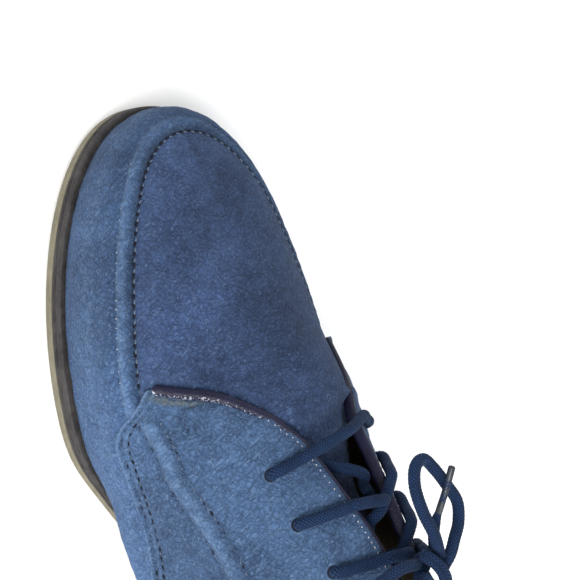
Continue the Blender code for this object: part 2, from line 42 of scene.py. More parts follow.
# All the tables below are in millimetres: x to the lateral side, s back from the toe, z up.
shoe = {"xCentre": 0.7, "sCentre": 145.6, "wall": 2.2, "laceRadius": 2.1}
sole = {"outsole": 4.2, "midsole": 5.4, "heelLift": 14.0, "toeSpring": 4.5,
        "flatFrom": 84.0, "flatTo": 134.0, "breast": 208.0}
sideways = np.array((1.0, 0.0, 0.0))
fullTurn = 2 * math.pi


def toWorld(points):
    p = np.asarray(points, float)
    return np.stack((p[..., 0] - shoe["xCentre"], p[..., 1] - shoe["sCentre"], p[..., 2]), -1) * 0.001


camera = {"azimuth": 12.54, "elevation": 45.54, "roll": 89.31, "distance": 0.42, "lens": 66.27,
          "aim": (-0.03684, -0.0649, 0.040)}


def placeCamera():
    azimuth, elevation, roll = (math.radians(camera[k]) for k in ("azimuth", "elevation", "roll"))
    back = Vector((math.cos(azimuth) * math.cos(elevation), -math.sin(azimuth) * math.cos(elevation),
                   math.sin(elevation)))
    level = Vector((0, 0, 1)).cross(back).normalized()
    over = back.cross(level)
    right = level * math.cos(roll) + over * math.sin(roll)
    up = over * math.cos(roll) - level * math.sin(roll)
    place = Vector(camera["aim"]) + back * camera["distance"]
    data = bpy.data.cameras.new("shoeCamera")
    data.lens, data.sensor_width = camera["lens"], 36.0
    data.clip_start, data.clip_end = 0.01, 20.0
    item = bpy.data.objects.new("shoeCamera", data)
    item.matrix_world = Matrix((
        (right.x, up.x, back.x, place.x), (right.y, up.y, back.y, place.y),
        (right.z, up.z, back.z, place.z), (0, 0, 0, 1)))
    bpy.context.scene.collection.objects.link(item)
    bpy.context.scene.camera = item


studio = {
    "dim": 0.85,    # all colours darker than named, so that the floor burns out round the shoe
    "world": 0.66,
    "aim": (0.0, -0.04, 0.04),
    "floor": ((0.95, 0.95, 0.95, 1.0), (0.98, 0.98, 0.98, 1.0)),
    "lights": {
        "key": {"at": (1.05, 0.25, 0.95), "size": 0.8, "power": 22.4, "tint": (1.0, 0.99, 0.97)},
        "fill": {"at": (-0.7, -0.9, 0.9), "size": 1.2, "power": 5.9, "tint": (0.94, 0.97, 1.0)},
        "rear": {"at": (0.1, 1.1, 1.0), "size": 1.0, "power": 9.4, "tint": (1.0, 1.0, 1.0)},
    },
}


def placeLights():
    for name, want in studio["lights"].items():
        data = bpy.data.lights.new(name + "Light", "AREA")
        data.shape, data.size, data.energy, data.color = "DISK", want["size"], want["power"], want["tint"]
        item = bpy.data.objects.new(name + "Light", data)
        item.location = want["at"]
        item.rotation_euler = (Vector(studio["aim"]) - item.location).to_track_quat("-Z", "Y").to_euler()
        bpy.context.scene.collection.objects.link(item)
    world = bpy.data.worlds.new("studioWorld")
    world.use_nodes = True
    background = world.node_tree.nodes["Background"]
    background.inputs["Color"].default_value = (1.0, 1.0, 1.0, 1.0)
    background.inputs["Strength"].default_value = studio["world"]
    bpy.context.scene.world = world
    bpy.context.scene.view_settings.view_transform = "Standard"


placeCamera()
placeLights()
print("camera and lights placed")


def feed(tree, node, inputs):
    # a socket is linked, anything else is set
    for key, value in dict(inputs).items():
        if isinstance(value, bpy.types.NodeSocket):
            tree.links.new(value, node.inputs[key])
        else:
            node.inputs[key].default_value = value


def addNode(tree, kind, inputs=(), **settings):
    made = tree.nodes.new("ShaderNode" + kind)
    for key, value in settings.items():
        setattr(made, key, value)
    feed(tree, made, inputs)
    return made


def calc(tree, operation, a, b=0.0):
    return addNode(tree, "Math", {0: a, 1: b}, operation=operation).outputs[0]


def times(tree, a, b):
    return calc(tree, "MULTIPLY", a, b)


def weigh(tree, a, partA, b, partB):
    return calc(tree, "ADD", times(tree, a, partA), times(tree, b, partB))


def blendColor(tree, factor, a, b, kind="MIX"):
    return addNode(tree, "Mix", {0: factor, 6: a, 7: b}, data_type="RGBA", blend_type=kind).outputs[2]


def shadeColor(tree, color, value):
    # a colour made darker or lighter by a value that varies over the surface
    gray = addNode(tree, "CombineColor", {0: value, 1: value, 2: value}).outputs[0]
    return blendColor(tree, 1.0, color, gray, "MULTIPLY")


def remap(tree, value, low, high, toLow=0.0, toHigh=1.0):
    return addNode(tree, "MapRange", {"Value": value, "From Min": low, "From Max": high,
                                      "To Min": toLow, "To Max": toHigh}).outputs[0]


def noise(tree, vector, scale, detail=2.0, roughness=0.5, distortion=0.0):
    return addNode(tree, "TexNoise", {"Vector": vector, "Scale": scale, "Detail": detail,
                                      "Roughness": roughness, "Distortion": distortion}).outputs[0]


def placeOf(tree):
    return addNode(tree, "TexCoord").outputs["Object"]


def stretchOf(tree, vector, turn, scale):
    return addNode(tree, "Mapping", {"Vector": vector, "Rotation": turn, "Scale": (scale, 1.0, 1.0)},
                   vector_type="TEXTURE").outputs[0]


def painted(tree, name):
    return addNode(tree, "Attribute", attribute_name=name).outputs["Fac"]


def newGroup(name, inputs, outputs):
    group = bpy.data.node_groups.new(name, "ShaderNodeTree")
    for label, value in inputs.items():
        kind = "NodeSocketColor" if isinstance(value, tuple) else "NodeSocketFloat"
        group.interface.new_socket(name=label, in_out="INPUT", socket_type=kind).default_value = value
    for label in outputs:
        kind = "NodeSocketColor" if label == "Color" else "NodeSocketFloat"
        group.interface.new_socket(name=label, in_out="OUTPUT", socket_type=kind)
    return group, group.nodes.new("NodeGroupInput").outputs, group.nodes.new("NodeGroupOutput")


def useGroup(tree, group, inputs=()):
    return addNode(tree, "Group", inputs, node_tree=group).outputs


def newMaterial(name, **sockets):
    made = bpy.data.materials.new(name)
    made.use_nodes = True
    shader = made.node_tree.nodes["Principled BSDF"]
    for key, value in sockets.items():
        shader.inputs[key.replace("_", " ")].default_value = value
    return made, made.node_tree, shader


def dress(tree, shader, color, roughness, height, strength, distance):
    bump = addNode(tree, "Bump", {"Height": height, "Strength": strength, "Distance": distance}).outputs[0]
    feed(tree, shader, {"Base Color": color, "Roughness": roughness, "Normal": bump})


def rgba(color, brighter=1.0):
    return tuple(c * brighter * studio["dim"] for c in color) + (1.0,)


def buildNapGroup():
    # brushed nap: big tonal patches, smears, slanting fibres, the creased grain under them, pale scratches
    group, given, out = newGroup("suedeNap", {"Patch Size": 0.03, "Fibre Size": 0.0006},
                                 ("Patches", "Streaks", "Fibres", "Creases", "Scratches"))
    place = placeOf(group)
    patchScale = calc(group, "DIVIDE", 1.0, given["Patch Size"])
    fibreScale = calc(group, "DIVIDE", 1.0, given["Fibre Size"])
    patches = noise(group, place, patchScale, 3.0, 0.55, 0.6)
    streaks = noise(group, place, times(group, patchScale, 6.0), 4.0, 0.65, 0.4)
    fibres = noise(group, stretchOf(group, place, (0.0, 0.467, 0.817), 2.8), fibreScale, 2.0, 0.6, 0.3)
    wobble = addNode(group, "TexNoise", {"Vector": place, "Scale": 160.0}).outputs["Color"]
    bent = addNode(group, "VectorMath", {0: wobble, 1: (0.004, 0.004, 0.004), 2: place},
                   operation="MULTIPLY_ADD").outputs[0]
    cells = addNode(group, "TexVoronoi", {"Vector": bent, "Scale": times(group, fibreScale, 0.42)},
                    feature="DISTANCE_TO_EDGE").outputs[0]
    thin = []
    for turn in ((0.0, 0.467, 0.62), (0.2, 0.467, 2.1)):
        strokes = noise(group, stretchOf(group, place, turn, 7.0), times(group, fibreScale, 0.9),
                        2.0, 0.5, 0.6)
        thin.append(remap(group, strokes, 0.60, 0.72))
    feed(group, out, {"Patches": remap(group, patches, 0.34, 0.66),
                      "Streaks": remap(group, streaks, 0.34, 0.66),
                      "Fibres": fibres, "Creases": remap(group, cells, 0.0, 0.25),
                      "Scratches": calc(group, "MAXIMUM", thin[0], thin[1])})
    return group


def buildGrainGroup():
    # pebbled leather grain with soft grime
    group, given, out = newGroup("leatherGrain", {"Pebble Size": 0.0012}, ("Pebbles", "Grime"))
    place = placeOf(group)
    scale = calc(group, "DIVIDE", 1.0, given["Pebble Size"])
    cells = addNode(group, "TexVoronoi", {"Vector": place, "Scale": scale}, feature="SMOOTH_F1").outputs[0]
    feed(group, out, {"Pebbles": cells,
                      "Grime": remap(group, noise(group, place, 90.0, 5.0, 0.6), 0.35, 0.7)})
    return group


dustColor = (0.105, 0.125, 0.128, 1.0)


def buildWearAndShadeGroup():
    # lighter where worn, dusty in places, and darker or lighter by the piece's tone values, which paint in
    # shade and light
    group, given, out = newGroup("rubbedEdgeAndShade", {"Color": (0.1, 0.1, 0.1, 1.0), "Worn": (0.2, 0.2, 0.2, 1.0),
                                                "Amount": 0.7}, ("Color",))
    broken = remap(group, noise(group, placeOf(group), 420.0, 4.0, 0.75), 0.4, 0.6, 0.1, 1.0)
    amount = times(group, times(group, painted(group, "wearAndGlint"), broken), given["Amount"])
    # painted shade and light: the colour is scaled by one plus the piece's tone
    toned = shadeColor(group, given["Color"], calc(group, "ADD", 1.0, painted(group, "tone")))
    toned = blendColor(group, times(group, painted(group, "dust"), broken), toned, dustColor)
    feed(group, out, {"Color": blendColor(group, amount, toned, given["Worn"])})
    return group


napGroup = buildNapGroup()
grainGroup = buildGrainGroup()
wearAndShadeGroup = buildWearAndShadeGroup()


def rubbedAndShaded(tree, color, worn, amount):
    return useGroup(tree, wearAndShadeGroup, {"Color": color, "Worn": worn, "Amount": amount})["Color"]


suede = {"patch": 0.028, "fibre": 0.0008, "scratch": 0.35, "worn": 0.7}


def makeSuede(name, light, dark, worn):
    made, tree, shader = newMaterial(name, Sheen_Weight=0.12, Sheen_Roughness=0.45,
                                     Sheen_Tint=(0.5, 0.66, 0.95, 1.0), Specular_IOR_Level=0.16)
    nap = useGroup(tree, napGroup, {"Patch Size": suede["patch"], "Fibre Size": suede["fibre"]})
    tone = weigh(tree, nap["Patches"], 0.55, nap["Streaks"], 0.45)
    fine = calc(tree, "ADD", remap(tree, nap["Fibres"], 0.3, 0.7, 0.78, 1.22),
                remap(tree, nap["Creases"], 0.0, 1.0, -0.16, 0.06))
    color = shadeColor(tree, blendColor(tree, tone, rgba(dark), rgba(light)), fine)
    color = blendColor(tree, times(tree, nap["Scratches"], suede["scratch"]), color, rgba(worn))
    dress(tree, shader, rubbedAndShaded(tree, color, rgba(worn), suede["worn"]),
          remap(tree, tone, 0.0, 1.0, 0.95, 0.82),
          weigh(tree, nap["Fibres"], 0.8, nap["Creases"], 0.5), 1.0, 0.0006)
    return made


def makeLeather(name, light, dark, roughness, pebble, bump, coat=0.0):
    made, tree, shader = newMaterial(name, Coat_Weight=coat, Coat_Roughness=0.2, Specular_IOR_Level=0.3)
    grain = useGroup(tree, grainGroup, {"Pebble Size": pebble})
    color = blendColor(tree, grain["Grime"], rgba(dark), rgba(light))
    dress(tree, shader, rubbedAndShaded(tree, color, rgba(light, 1.5), 0.5),
          remap(tree, grain["Grime"], 0.0, 1.0, roughness + 0.08, roughness - 0.06),
          grain["Pebbles"], bump, 0.00025)
    return made


def makeGlintedLeather(name, light, dark, spark, size):
    # dark leather with small bright spots of painted glint, where the piece's attribute sets them
    made, tree, shader = newMaterial(name, Specular_IOR_Level=0.22)
    grain = useGroup(tree, grainGroup, {"Pebble Size": 0.0009})
    spots = noise(tree, placeOf(tree), 1.0 / size, 3.0, 0.7, 0.4)
    flecks = remap(tree, times(tree, spots, painted(tree, "wearAndGlint")), 0.55, 0.62)
    color = blendColor(tree, grain["Grime"], rgba(dark), rgba(light))
    dress(tree, shader, blendColor(tree, flecks, color, rgba(spark)),
          remap(tree, flecks, 0.0, 1.0, 0.45, 0.25), calc(tree, "ADD", grain["Pebbles"], spots), 0.5, 0.0003)
    return made


def makeSoleStuff(name, light, dark, roughness, lines):
    # built-up sole edge: fine laid lines round the edge, grime and scuffs
    made, tree, shader = newMaterial(name, Specular_IOR_Level=0.3)
    grain = useGroup(tree, grainGroup, {"Pebble Size": 0.0007})
    spread = addNode(tree, "Mapping", {"Vector": placeOf(tree), "Scale": (0.3, 0.3, 1.0)}).outputs[0]
    layers = noise(tree, spread, lines, 3.0, 0.6)
    tone = weigh(tree, layers, 0.6, grain["Grime"], 0.4)
    color = blendColor(tree, remap(tree, tone, 0.3, 0.75), rgba(dark), rgba(light))
    dress(tree, shader, rubbedAndShaded(tree, color, rgba(light, 1.35), 0.5),
          remap(tree, tone, 0.2, 0.8, roughness + 0.1, roughness - 0.1),
          weigh(tree, layers, 1.0, grain["Pebbles"], 0.35), 0.35, 0.0004)
    return made


def makeBraid(name, light, dark, pitch, turns):
    # two sets of slanting strands crossing round the cord, from its own length and turn
    made, tree, shader = newMaterial(name, Sheen_Weight=0.05, Sheen_Roughness=0.4,
                                     Sheen_Tint=(0.5, 0.65, 0.9, 1.0), Specular_IOR_Level=0.18)
    place = addNode(tree, "SeparateXYZ", {0: addNode(tree, "UVMap").outputs[0]}).outputs
    along = times(tree, place[0], fullTurn / pitch)
    around = times(tree, place[1], fullTurn * turns)
    hands = [calc(tree, "ABSOLUTE", calc(tree, "SINE", calc(tree, operation, along, around)))
             for operation in ("ADD", "SUBTRACT")]
    strands = times(tree, hands[0], hands[1])
    objectPlace = placeOf(tree)
    fuzz = noise(tree, objectPlace, 2600.0, 2.0, 0.6)
    patches = remap(tree, noise(tree, objectPlace, 120.0, 3.0, 0.6), 0.3, 0.7, 0.7, 1.2)
    tone = times(tree, weigh(tree, strands, 0.7, fuzz, 0.3), patches)
    dress(tree, shader, blendColor(tree, remap(tree, tone, 0.1, 0.8), rgba(dark), rgba(light)), 0.8,
          weigh(tree, strands, 1.0, fuzz, 0.4), 0.8, 0.0004)
    return made


finish = {
    # one blue suede in copies: the wall's and the quarters' colours nearly match, and the plug's and tongue's
    # are darker, partly the leather's own darker colour and partly painted shade
    "suede": makeSuede("blueSuede", (0.064, 0.121, 0.238), (0.029, 0.055, 0.113), (0.17, 0.275, 0.43)),
    "wallSuede": makeSuede("blueSuedeWall", (0.061, 0.119, 0.250), (0.029, 0.055, 0.118), (0.19, 0.30, 0.46)),
    "plugSuede": makeSuede("blueSuedePlug", (0.042, 0.076, 0.172), (0.019, 0.032, 0.074), (0.12, 0.19, 0.33)),
    "tongueSuede": makeSuede("tongueSuede", (0.042, 0.076, 0.172), (0.019, 0.032, 0.074), (0.12, 0.19, 0.33)),
    "binding": makeGlintedLeather("navyBinding", (0.014, 0.015, 0.046), (0.006, 0.006, 0.022), (0.50, 0.52, 0.62),
                           0.0008),
    "lining": makeLeather("liningLeather", (0.150, 0.125, 0.075), (0.070, 0.056, 0.034), 0.62, 0.0010, 0.4),
    "sock": makeLeather("sockLeather", (0.165, 0.135, 0.082), (0.080, 0.064, 0.038), 0.60, 0.0013, 0.4),
    "welt": makeSoleStuff("charcoalWelt", (0.062, 0.057, 0.056), (0.018, 0.016, 0.017), 0.66, 1500.0),
    "tan": makeSoleStuff("tanSole", (0.250, 0.230, 0.165), (0.170, 0.155, 0.108), 0.70, 900.0),
    "braid": makeBraid("navyBraid", (0.011, 0.037, 0.108), (0.0018, 0.008, 0.029), 2.2, 4.0),
    "thread": makeBraid("stitchThread", (0.22, 0.28, 0.38), (0.08, 0.11, 0.17), 0.9, 1.0),
    # near-white, for small painted glints along the bound facing edges and beside the apron seam
    "glint": makeBraid("glintThread", (0.80, 0.82, 0.88), (0.30, 0.32, 0.42), 0.9, 1.0),
    # near-black: painted shade in the needle holes, dimples and eyelet cups
    "hole": makeLeather("paintedHoleShade", (0.007, 0.010, 0.022), (0.003, 0.004, 0.011), 0.9, 0.0006, 0.2),
    "tip": makeLeather("laceTip", (0.026, 0.034, 0.040), (0.014, 0.018, 0.022), 0.42, 0.0016, 0.12, 0.3),
}


def makeFloor():
    made, tree, shader = newMaterial("paleFloor", Roughness=0.8, Specular_IOR_Level=0.2)
    tone = noise(tree, placeOf(tree), 6.0, 3.0, 0.5)
    feed(tree, shader, {"Base Color": blendColor(tree, tone, *studio["floor"])})
    mesh = bpy.data.meshes.new("floor")
    reach = 4.0
    mesh.from_pydata([(-reach, -reach, 0), (reach, -reach, 0), (reach, reach, 0), (-reach, reach, 0)],
                     [], [(0, 1, 2, 3)])
    mesh.materials.append(made)
    item = bpy.data.objects.new("floor", mesh)
    bpy.context.scene.collection.objects.link(item)


makeFloor()
print("materials made")

# The last: the shoe's own form, as a skin over rows of points that run round each side from toe to heel.
groupCounts = (12, 4, 4, 10, 8, 6)      # columns in toe, vamp, front, facing, collar, heel
groupEnds = np.cumsum((0,) + groupCounts)
lastColumn = 44.0
rowNames = ("feather", "bulge", "wall", "seam")
# front s, back s, tip x, corner powers: lateral tip, lateral side, medial tip, medial side
corners = {
    "feather": (4.2, 286.5, -2.1, 2.20, 1.87, 2.07, 2.70),
    "bulge": (2.7, 289.0, -2.1, 2.20, 1.87, 2.07, 2.70),
    "wall": (5.2, 288.0, -1.6, 2.10, 1.77, 1.97, 2.60),
    "seam": (13.6, 284.5, -1.7, 2.06, 1.65, 2.18, 2.04),
}
heelPower = 2.2
# s, feather, bulge, wall and seam half widths, seam height
lateralRows = (
    (105.0, 50.7, 52.4, 51.3, 45.5, 44.3), (125.0, 49.2, 51.8, 50.4, 45.2, 47.5),
    (145.0, 42.2, 49.6, 47.2, 41.8, 54.0), (165.0, 35.0, 49.6, 45.2, 39.6, 59.5),
    (185.0, 34.0, 47.0, 43.2, 37.4, 63.0), (205.0, 34.0, 42.2, 40.0, 35.5, 63.5),
    (225.0, 34.2, 38.8, 37.5, 34.3, 62.5), (250.0, 34.0, 37.5, 36.4, 33.4, 63.0))
medialRows = (
    (92.0, 49.3, 50.9, 48.5, 39.8, 48.5), (110.0, 44.8, 47.0, 45.2, 40.6, 53.0),
    (130.0, 37.8, 42.9, 42.7, 39.6, 60.0), (150.0, 32.2, 39.8, 40.8, 37.8, 64.0),
    (170.0, 28.8, 37.6, 38.8, 36.4, 67.0), (190.0, 28.8, 36.8, 37.4, 35.0, 68.0),
    (210.0, 30.8, 36.6, 36.6, 34.0, 66.5), (230.0, 32.5, 36.6, 36.2, 33.4, 65.0),
    (250.0, 33.0, 36.5, 35.8, 33.0, 65.0))
seamToe = ((13.6, 34.3), (35.0, 39.2), (65.0, 42.8))
rise = ((0.0, 7.5, 15.0), (60.0, 9.0, 19.0), (105.0, 10.0, 21.5), (130.0, 10.0, 22.8), (160.0, 8.6, 24.4),
        (200.0, 11.5, 27.0), (290.0, 16.0, 29.0))    # s, heights of bulge and wall over the midsole
ridge = ((30.0, -2.0, 42.4), (46.0, -2.5, 46.5), (60.0, -3.5, 50.0), (75.0, -5.0, 55.1), (90.0, -7.0, 63.4),
         (104.0, -8.5, 72.2), (112.0, -8.8, 76.2), (125.0, -8.8, 83.2), (140.0, -8.4, 92.6),
         (155.0, -7.5, 101.4), (172.0, -6.3, 108.6), (184.0, -5.0, 112.6), (200.0, -4.0, 118.0))    # s, x, z
# s, half gap
throat = ((122.0, 15.5), (128.0, 14.0), (140.0, 11.0), (155.0, 8.5), (172.0, 7.2), (184.0, 7.0))
sag = {1: ((112.0, 0.0), (124.0, 0.9), (142.0, 2.1), (150.0, 2.0), (164.0, 1.3), (184.0, 0.0)),
       -1: ((112.0, 0.0), (124.0, 4.2), (166.0, 4.2), (184.0, 0.0))}    # drop of each edge of the throat
sagShift = {1: 1.0, -1: 0.27}    # towards the lateral side for each millimetre of drop
crownRadius = 35.0    # of the instep across the throat
# s, lateral x and z, medial x and z
collar = ((184.0, 2.0, 111.9, -12.0, 111.9), (190.0, 11.5, 112.1, -20.0, 112.5),
          (199.0, 22.0, 106.4, -26.5, 107.6), (210.0, 28.8, 97.2, -30.0, 99.6),
          (222.0, 31.8, 89.0, -31.4, 91.8), (236.0, 32.3, 85.2, -31.3, 87.6),
          (250.0, 31.0, 86.0, -30.4, 88.0))
margin = ((0.0, 3.0), (50.0, 2.4), (110.0, 2.8), (150.0, 0.6), (170.0, 0.2), (200.0, 1.4), (290.0, 3.5))
breaks = {"low": (0.0, 120.0, 132.0, 192.0), "high": (120.0, 132.0, 192.0, 250.0)}
spine = {"start": 46.0, "join": 84.0, "throat": 112.0, "corner": 122.0, "top": 184.0, "heel": 250.0}
collarBack = (281.5, 94.0)


def hermite(t):
    return (2 * t ** 3 - 3 * t ** 2 + 1, t ** 3 - 2 * t ** 2 + t, -2 * t ** 3 + 3 * t ** 2, t ** 3 - t ** 2)


def ease(x, start, end):
    t = np.clip((np.asarray(x, float) - start) / (end - start), 0.0, 1.0)
    return t * t * (3.0 - 2.0 * t)


def smooth(table, x, column=1, flatStart=False, flatEnd=False):
    # smooth curve through a table's points, with no overshoot
    xs, ys = (np.array([row[k] for row in table]) for k in (0, column))
    h = np.diff(xs)
    d = np.diff(ys) / h
    m = np.empty_like(ys)
    m[1:-1] = (d[:-1] * h[1:] + d[1:] * h[:-1]) / (h[:-1] + h[1:])
    m[1:-1] = np.where(d[:-1] * d[1:] <= 0.0, 0.0, m[1:-1])
    m[0] = 0.0 if flatStart else d[0]
    m[-1] = 0.0 if flatEnd else d[-1]
    x = np.clip(np.asarray(x, float), xs[0], xs[-1])
    i = np.clip(np.searchsorted(xs, x, side="right") - 1, 0, len(h) - 1)
    a, b, c, e = hermite((x - xs[i]) / h[i])
    return a * ys[i] + b * h[i] * m[i] + c * ys[i + 1] + e * h[i] * m[i + 1]


def soleBase(s):
    spring = sole["toeSpring"] * np.clip((sole["flatFrom"] - s) / sole["flatFrom"], 0.0, None) ** 2.0
    return spring + sole["heelLift"] * ease(s, sole["flatTo"], sole["breast"])


def outsoleTop(s):
    return soleBase(s) + sole["outsole"]


def midsoleTop(s):
    return outsoleTop(s) + 0.1 + sole["midsole"]


def locate(column):
    group = np.clip(np.searchsorted(groupEnds, column, side="left") - 1, 0, 5)
    return group, np.clip((column - groupEnds[group]) / np.array(groupCounts)[group], 0.0, 1.0)


def bend(t, power):
    # a quarter turn, squarer than a circle's for a power over 2
    cosine, sine = (np.clip(wave(t * math.pi / 2), 0.0, 1.0) for wave in (np.cos, np.sin))
    return cosine ** (2.0 / power), sine ** (2.0 / power)


def lowerRow(side, row, column):
    front, back, tip = corners[row][:3]
    tipPower, sidePower = corners[row][3:5] if side > 0 else corners[row][5:7]
    table = lateralRows if side > 0 else medialRows
    which = 1 + rowNames.index(row)
    join, width, heelWidth = table[0][0], table[0][which], table[-1][which]
    group, t = locate(column)
    lows, highs = np.array((join,) + breaks["low"][1:]), np.array(breaks["high"])
    k = np.clip(group - 1, 0, 3)
    sMiddle = lows[k] + (highs[k] - lows[k]) * t
    xMiddle = smooth(table, sMiddle, which, True, True)
    sToe = join - (join - front) * bend(t, sidePower)[0]
    xToe = side * tip + (width - side * tip) * bend(t, tipPower)[1]
    heelCos, heelSin = bend(t, heelPower)
    sHeel = spine["heel"] + (back - spine["heel"]) * heelSin
    s = np.where(group == 0, sToe, np.where(group == 5, sHeel, sMiddle))
    x = np.where(group == 0, xToe, np.where(group == 5, heelWidth * heelCos, xMiddle))
    if row == "seam":
        z = smooth(seamToe + tuple((r[0], r[5]) for r in table), s)
    else:
        z = midsoleTop(s) + 0.3
        if row != "feather":
            z = z + smooth(rise, s, which - 1)
    return np.stack((side * x, s, z), -1)


def ridgePoint(s):
    s = np.asarray(s, float)
    return np.stack((smooth(ridge, s, 1), s, smooth(ridge, s, 2)), -1)


def edgePoint(side, s, halfGap):
    p = ridgePoint(s)
    drop = smooth(sag[side], s, 1, True, True)
    p[..., 0] += side * halfGap + sagShift[side] * drop
    p[..., 2] -= halfGap ** 2 / (2.0 * crownRadius) + drop
    return p


def topRow(side, column):
    group, t = locate(column)
    sine, cosine = np.sin(t * math.pi / 2), np.cos(t * math.pi / 2)
    toe = ridgePoint(spine["join"] - (spine["join"] - spine["start"]) * cosine)
    vamp = ridgePoint(spine["join"] + (spine["throat"] - spine["join"]) * t)
    front = edgePoint(side, spine["throat"] + (spine["corner"] - spine["throat"]) * (1.0 - cosine),
                      throat[0][1] * sine)
    s = spine["corner"] + (spine["top"] - spine["corner"]) * t
    facing = edgePoint(side, s, smooth(throat, s, 1, True))
    at = 1 if side > 0 else 3
    s = spine["top"] + (spine["heel"] - spine["top"]) * t ** 1.25
    top = np.stack((smooth(collar, s, at, False, True), s, smooth(collar, s, at + 1, False, True)), -1)
    cosine, sine = bend(t, 2.1)
    s = spine["heel"] + (collarBack[0] - spine["heel"]) * sine
    z = collar[-1][at + 1] + (collarBack[1] - collar[-1][at + 1]) * ease(s, spine["heel"], collarBack[0])
    heel = np.stack((collar[-1][at] * cosine, s, z), -1)
    return np.select([group[..., None] == k for k in range(6)], [toe, vamp, front, facing, top, heel])


def unit(v):
    return v / np.maximum(np.linalg.norm(v, axis=-1, keepdims=True), 1e-9)


def overDirection(s):
    run = ridgePoint(np.asarray(s, float) + 1.0) - ridgePoint(np.asarray(s, float) - 1.0)
    return unit(np.cross(sideways, run))


def formPoint(side, column, where):
    p = np.stack([lowerRow(side, row, column) for row in rowNames] + [topRow(side, column)])
    h = np.maximum(np.linalg.norm(np.diff(p, axis=0), axis=-1, keepdims=True), 1e-6)
    d = np.diff(p, axis=0) / h
    m = [d[0]] + [(d[i - 1] * h[i] + d[i] * h[i - 1]) / (h[i - 1] + h[i]) for i in range(1, 4)]
    # the skin meets the ridge level over the toe, turns across it on the vamp, and ends free behind
    group, t = locate(column)
    free = unit(1.5 * d[3] - 0.5 * m[3])
    normal = overDirection(p[4][..., 1])
    level = unit(d[3] - normal * np.sum(d[3] * normal, -1, keepdims=True))
    across = -side * sideways
    blend = ease(t, 0.0, 1.0)[..., None]
    pick = group[..., None]
    turning, opening = unit(level + (across - level) * blend), unit(across + (free - across) * blend)
    m.append(np.select([pick == 0, pick == 1, pick == 2], [level, turning, opening], free))
    m = np.stack(m)
    i = np.clip(where.astype(int), 0, 3)
    n = np.arange(len(column))
    a, b, c, e = (v[:, None] for v in hermite(where - i))
    step = h[i, n]
    return a * p[i, n] + b * step * m[i, n] + c * p[i + 1, n] + e * step * m[i + 1, n]


def skin(u, where):
    # u is the column, negative on the medial side; where runs 0 feather, 1 bulge, 2 wall, 3 seam, 4 top
    u, where = np.broadcast_arrays(np.asarray(u, float), np.asarray(where, float))
    flatU, flatWhere = u.ravel(), where.ravel()
    out = np.empty((flatU.size, 3))
    for side in (1, -1):
        mask = (flatU >= 0) == (side > 0)
        if mask.any():
            out[mask] = formPoint(side, np.abs(flatU[mask]), flatWhere[mask])
    return out.reshape(u.shape + (3,))


def skinNormal(u, where):
    u, where = np.broadcast_arrays(np.asarray(u, float), np.asarray(where, float))
    side = np.where(u >= 0, 1.0, -1.0)
    column = np.abs(u)
    ahead = np.clip(column + 0.06, 0.0, lastColumn) * side
    behind = np.clip(column - 0.06, 1e-6, lastColumn) * side
    across = skin(ahead, where) - skin(behind, where)
    up = skin(u, np.minimum(where + 0.02, 4.0)) - skin(u, np.maximum(where - 0.02, 0.0))
    return unit(np.cross(across, up)) * side[..., None]


def runLength(path):
    return np.concatenate([[0.0], np.cumsum(np.linalg.norm(np.diff(path, axis=0), axis=1))])


def sample(values, run, want):
    return np.stack([np.interp(want, run, values[:, a]) for a in range(values.shape[1])], -1)


def resample(path, count):
    run = runLength(path[:, :3])
    return sample(path, run, np.linspace(0.0, run[-1], count))


def downFromEdge(side, column, distance):
    # where value at a distance below the top edge, measured along the leather
    where = np.linspace(4.0, 1.0, 241)
    return float(np.interp(distance, runLength(skin(side * column, where)), where))


rippleWaves = ((2.1, 3.3, 1.7, 1.0, 0.0), (-3.7, 1.9, 2.9, 1.7, 1.3), (1.3, -4.6, 3.9, 0.6, 4.1),
               (0.0, 5.3, -5.9, 2.3, 0.0))


def ripple(points, size, seed=0.0):
    # gentle fixed unevenness, about -1 to 1
    x, y, z = np.moveaxis(np.asarray(points) / size, -1, 0)
    return sum(np.sin(x * a + y * b + z * c + seed * d + e) for a, b, c, d, e in rippleWaves) / 4.0


def bellAt(value, centre, width, power=2.0):
    return np.exp(-np.abs((value - centre) / width) ** power)


def addPiece(name, points, faces, materials, uv=None, wearAndGlint=None, tone=None, dust=None,
             faceMaterial=None, merge=True):
    mesh = bpy.data.meshes.new(name)
    mesh.from_pydata(toWorld(np.reshape(points, (-1, 3))).tolist(), [], faces)
    for item in materials:
        mesh.materials.append(item)
    if uv is not None:
        layer = mesh.uv_layers.new(name="UVMap")
        index = np.empty(len(mesh.loops), int)
        mesh.loops.foreach_get("vertex_index", index)
        layer.data.foreach_set("uv", uv.reshape(-1, 2)[index].ravel())
    for label, values in (("wearAndGlint", wearAndGlint), ("tone", tone), ("dust", dust)):
        if values is not None:
            mesh.attributes.new(label, "FLOAT", "POINT").data.foreach_set("value", np.ravel(values))
    if faceMaterial is not None:
        mesh.polygons.foreach_set("material_index", np.asarray(faceMaterial, int))
    if merge:
        bm = bmesh.new()
        bm.from_mesh(mesh)
        bmesh.ops.remove_doubles(bm, verts=bm.verts, dist=0.000004)
        bmesh.ops.dissolve_degenerate(bm, edges=bm.edges, dist=0.000002)
        bmesh.ops.recalc_face_normals(bm, faces=bm.faces)
        bm.to_mesh(mesh)
        bm.free()
    mesh.polygons.foreach_set("use_smooth", np.ones(len(mesh.polygons), bool))
    item = bpy.data.objects.new(name, mesh)
    bpy.context.scene.collection.objects.link(item)
    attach(item, "root")
    return item


def gridFaces(rows, columns, wrap=False, base=0):
    r, c = np.meshgrid(np.arange(rows - 1), np.arange(columns if wrap else columns - 1), indexing="ij")
    a = r * columns + c
    b = r * columns + (c + 1) % columns
    return (np.stack((a, b, b + columns, a + columns), -1).reshape(-1, 4) + base).tolist()


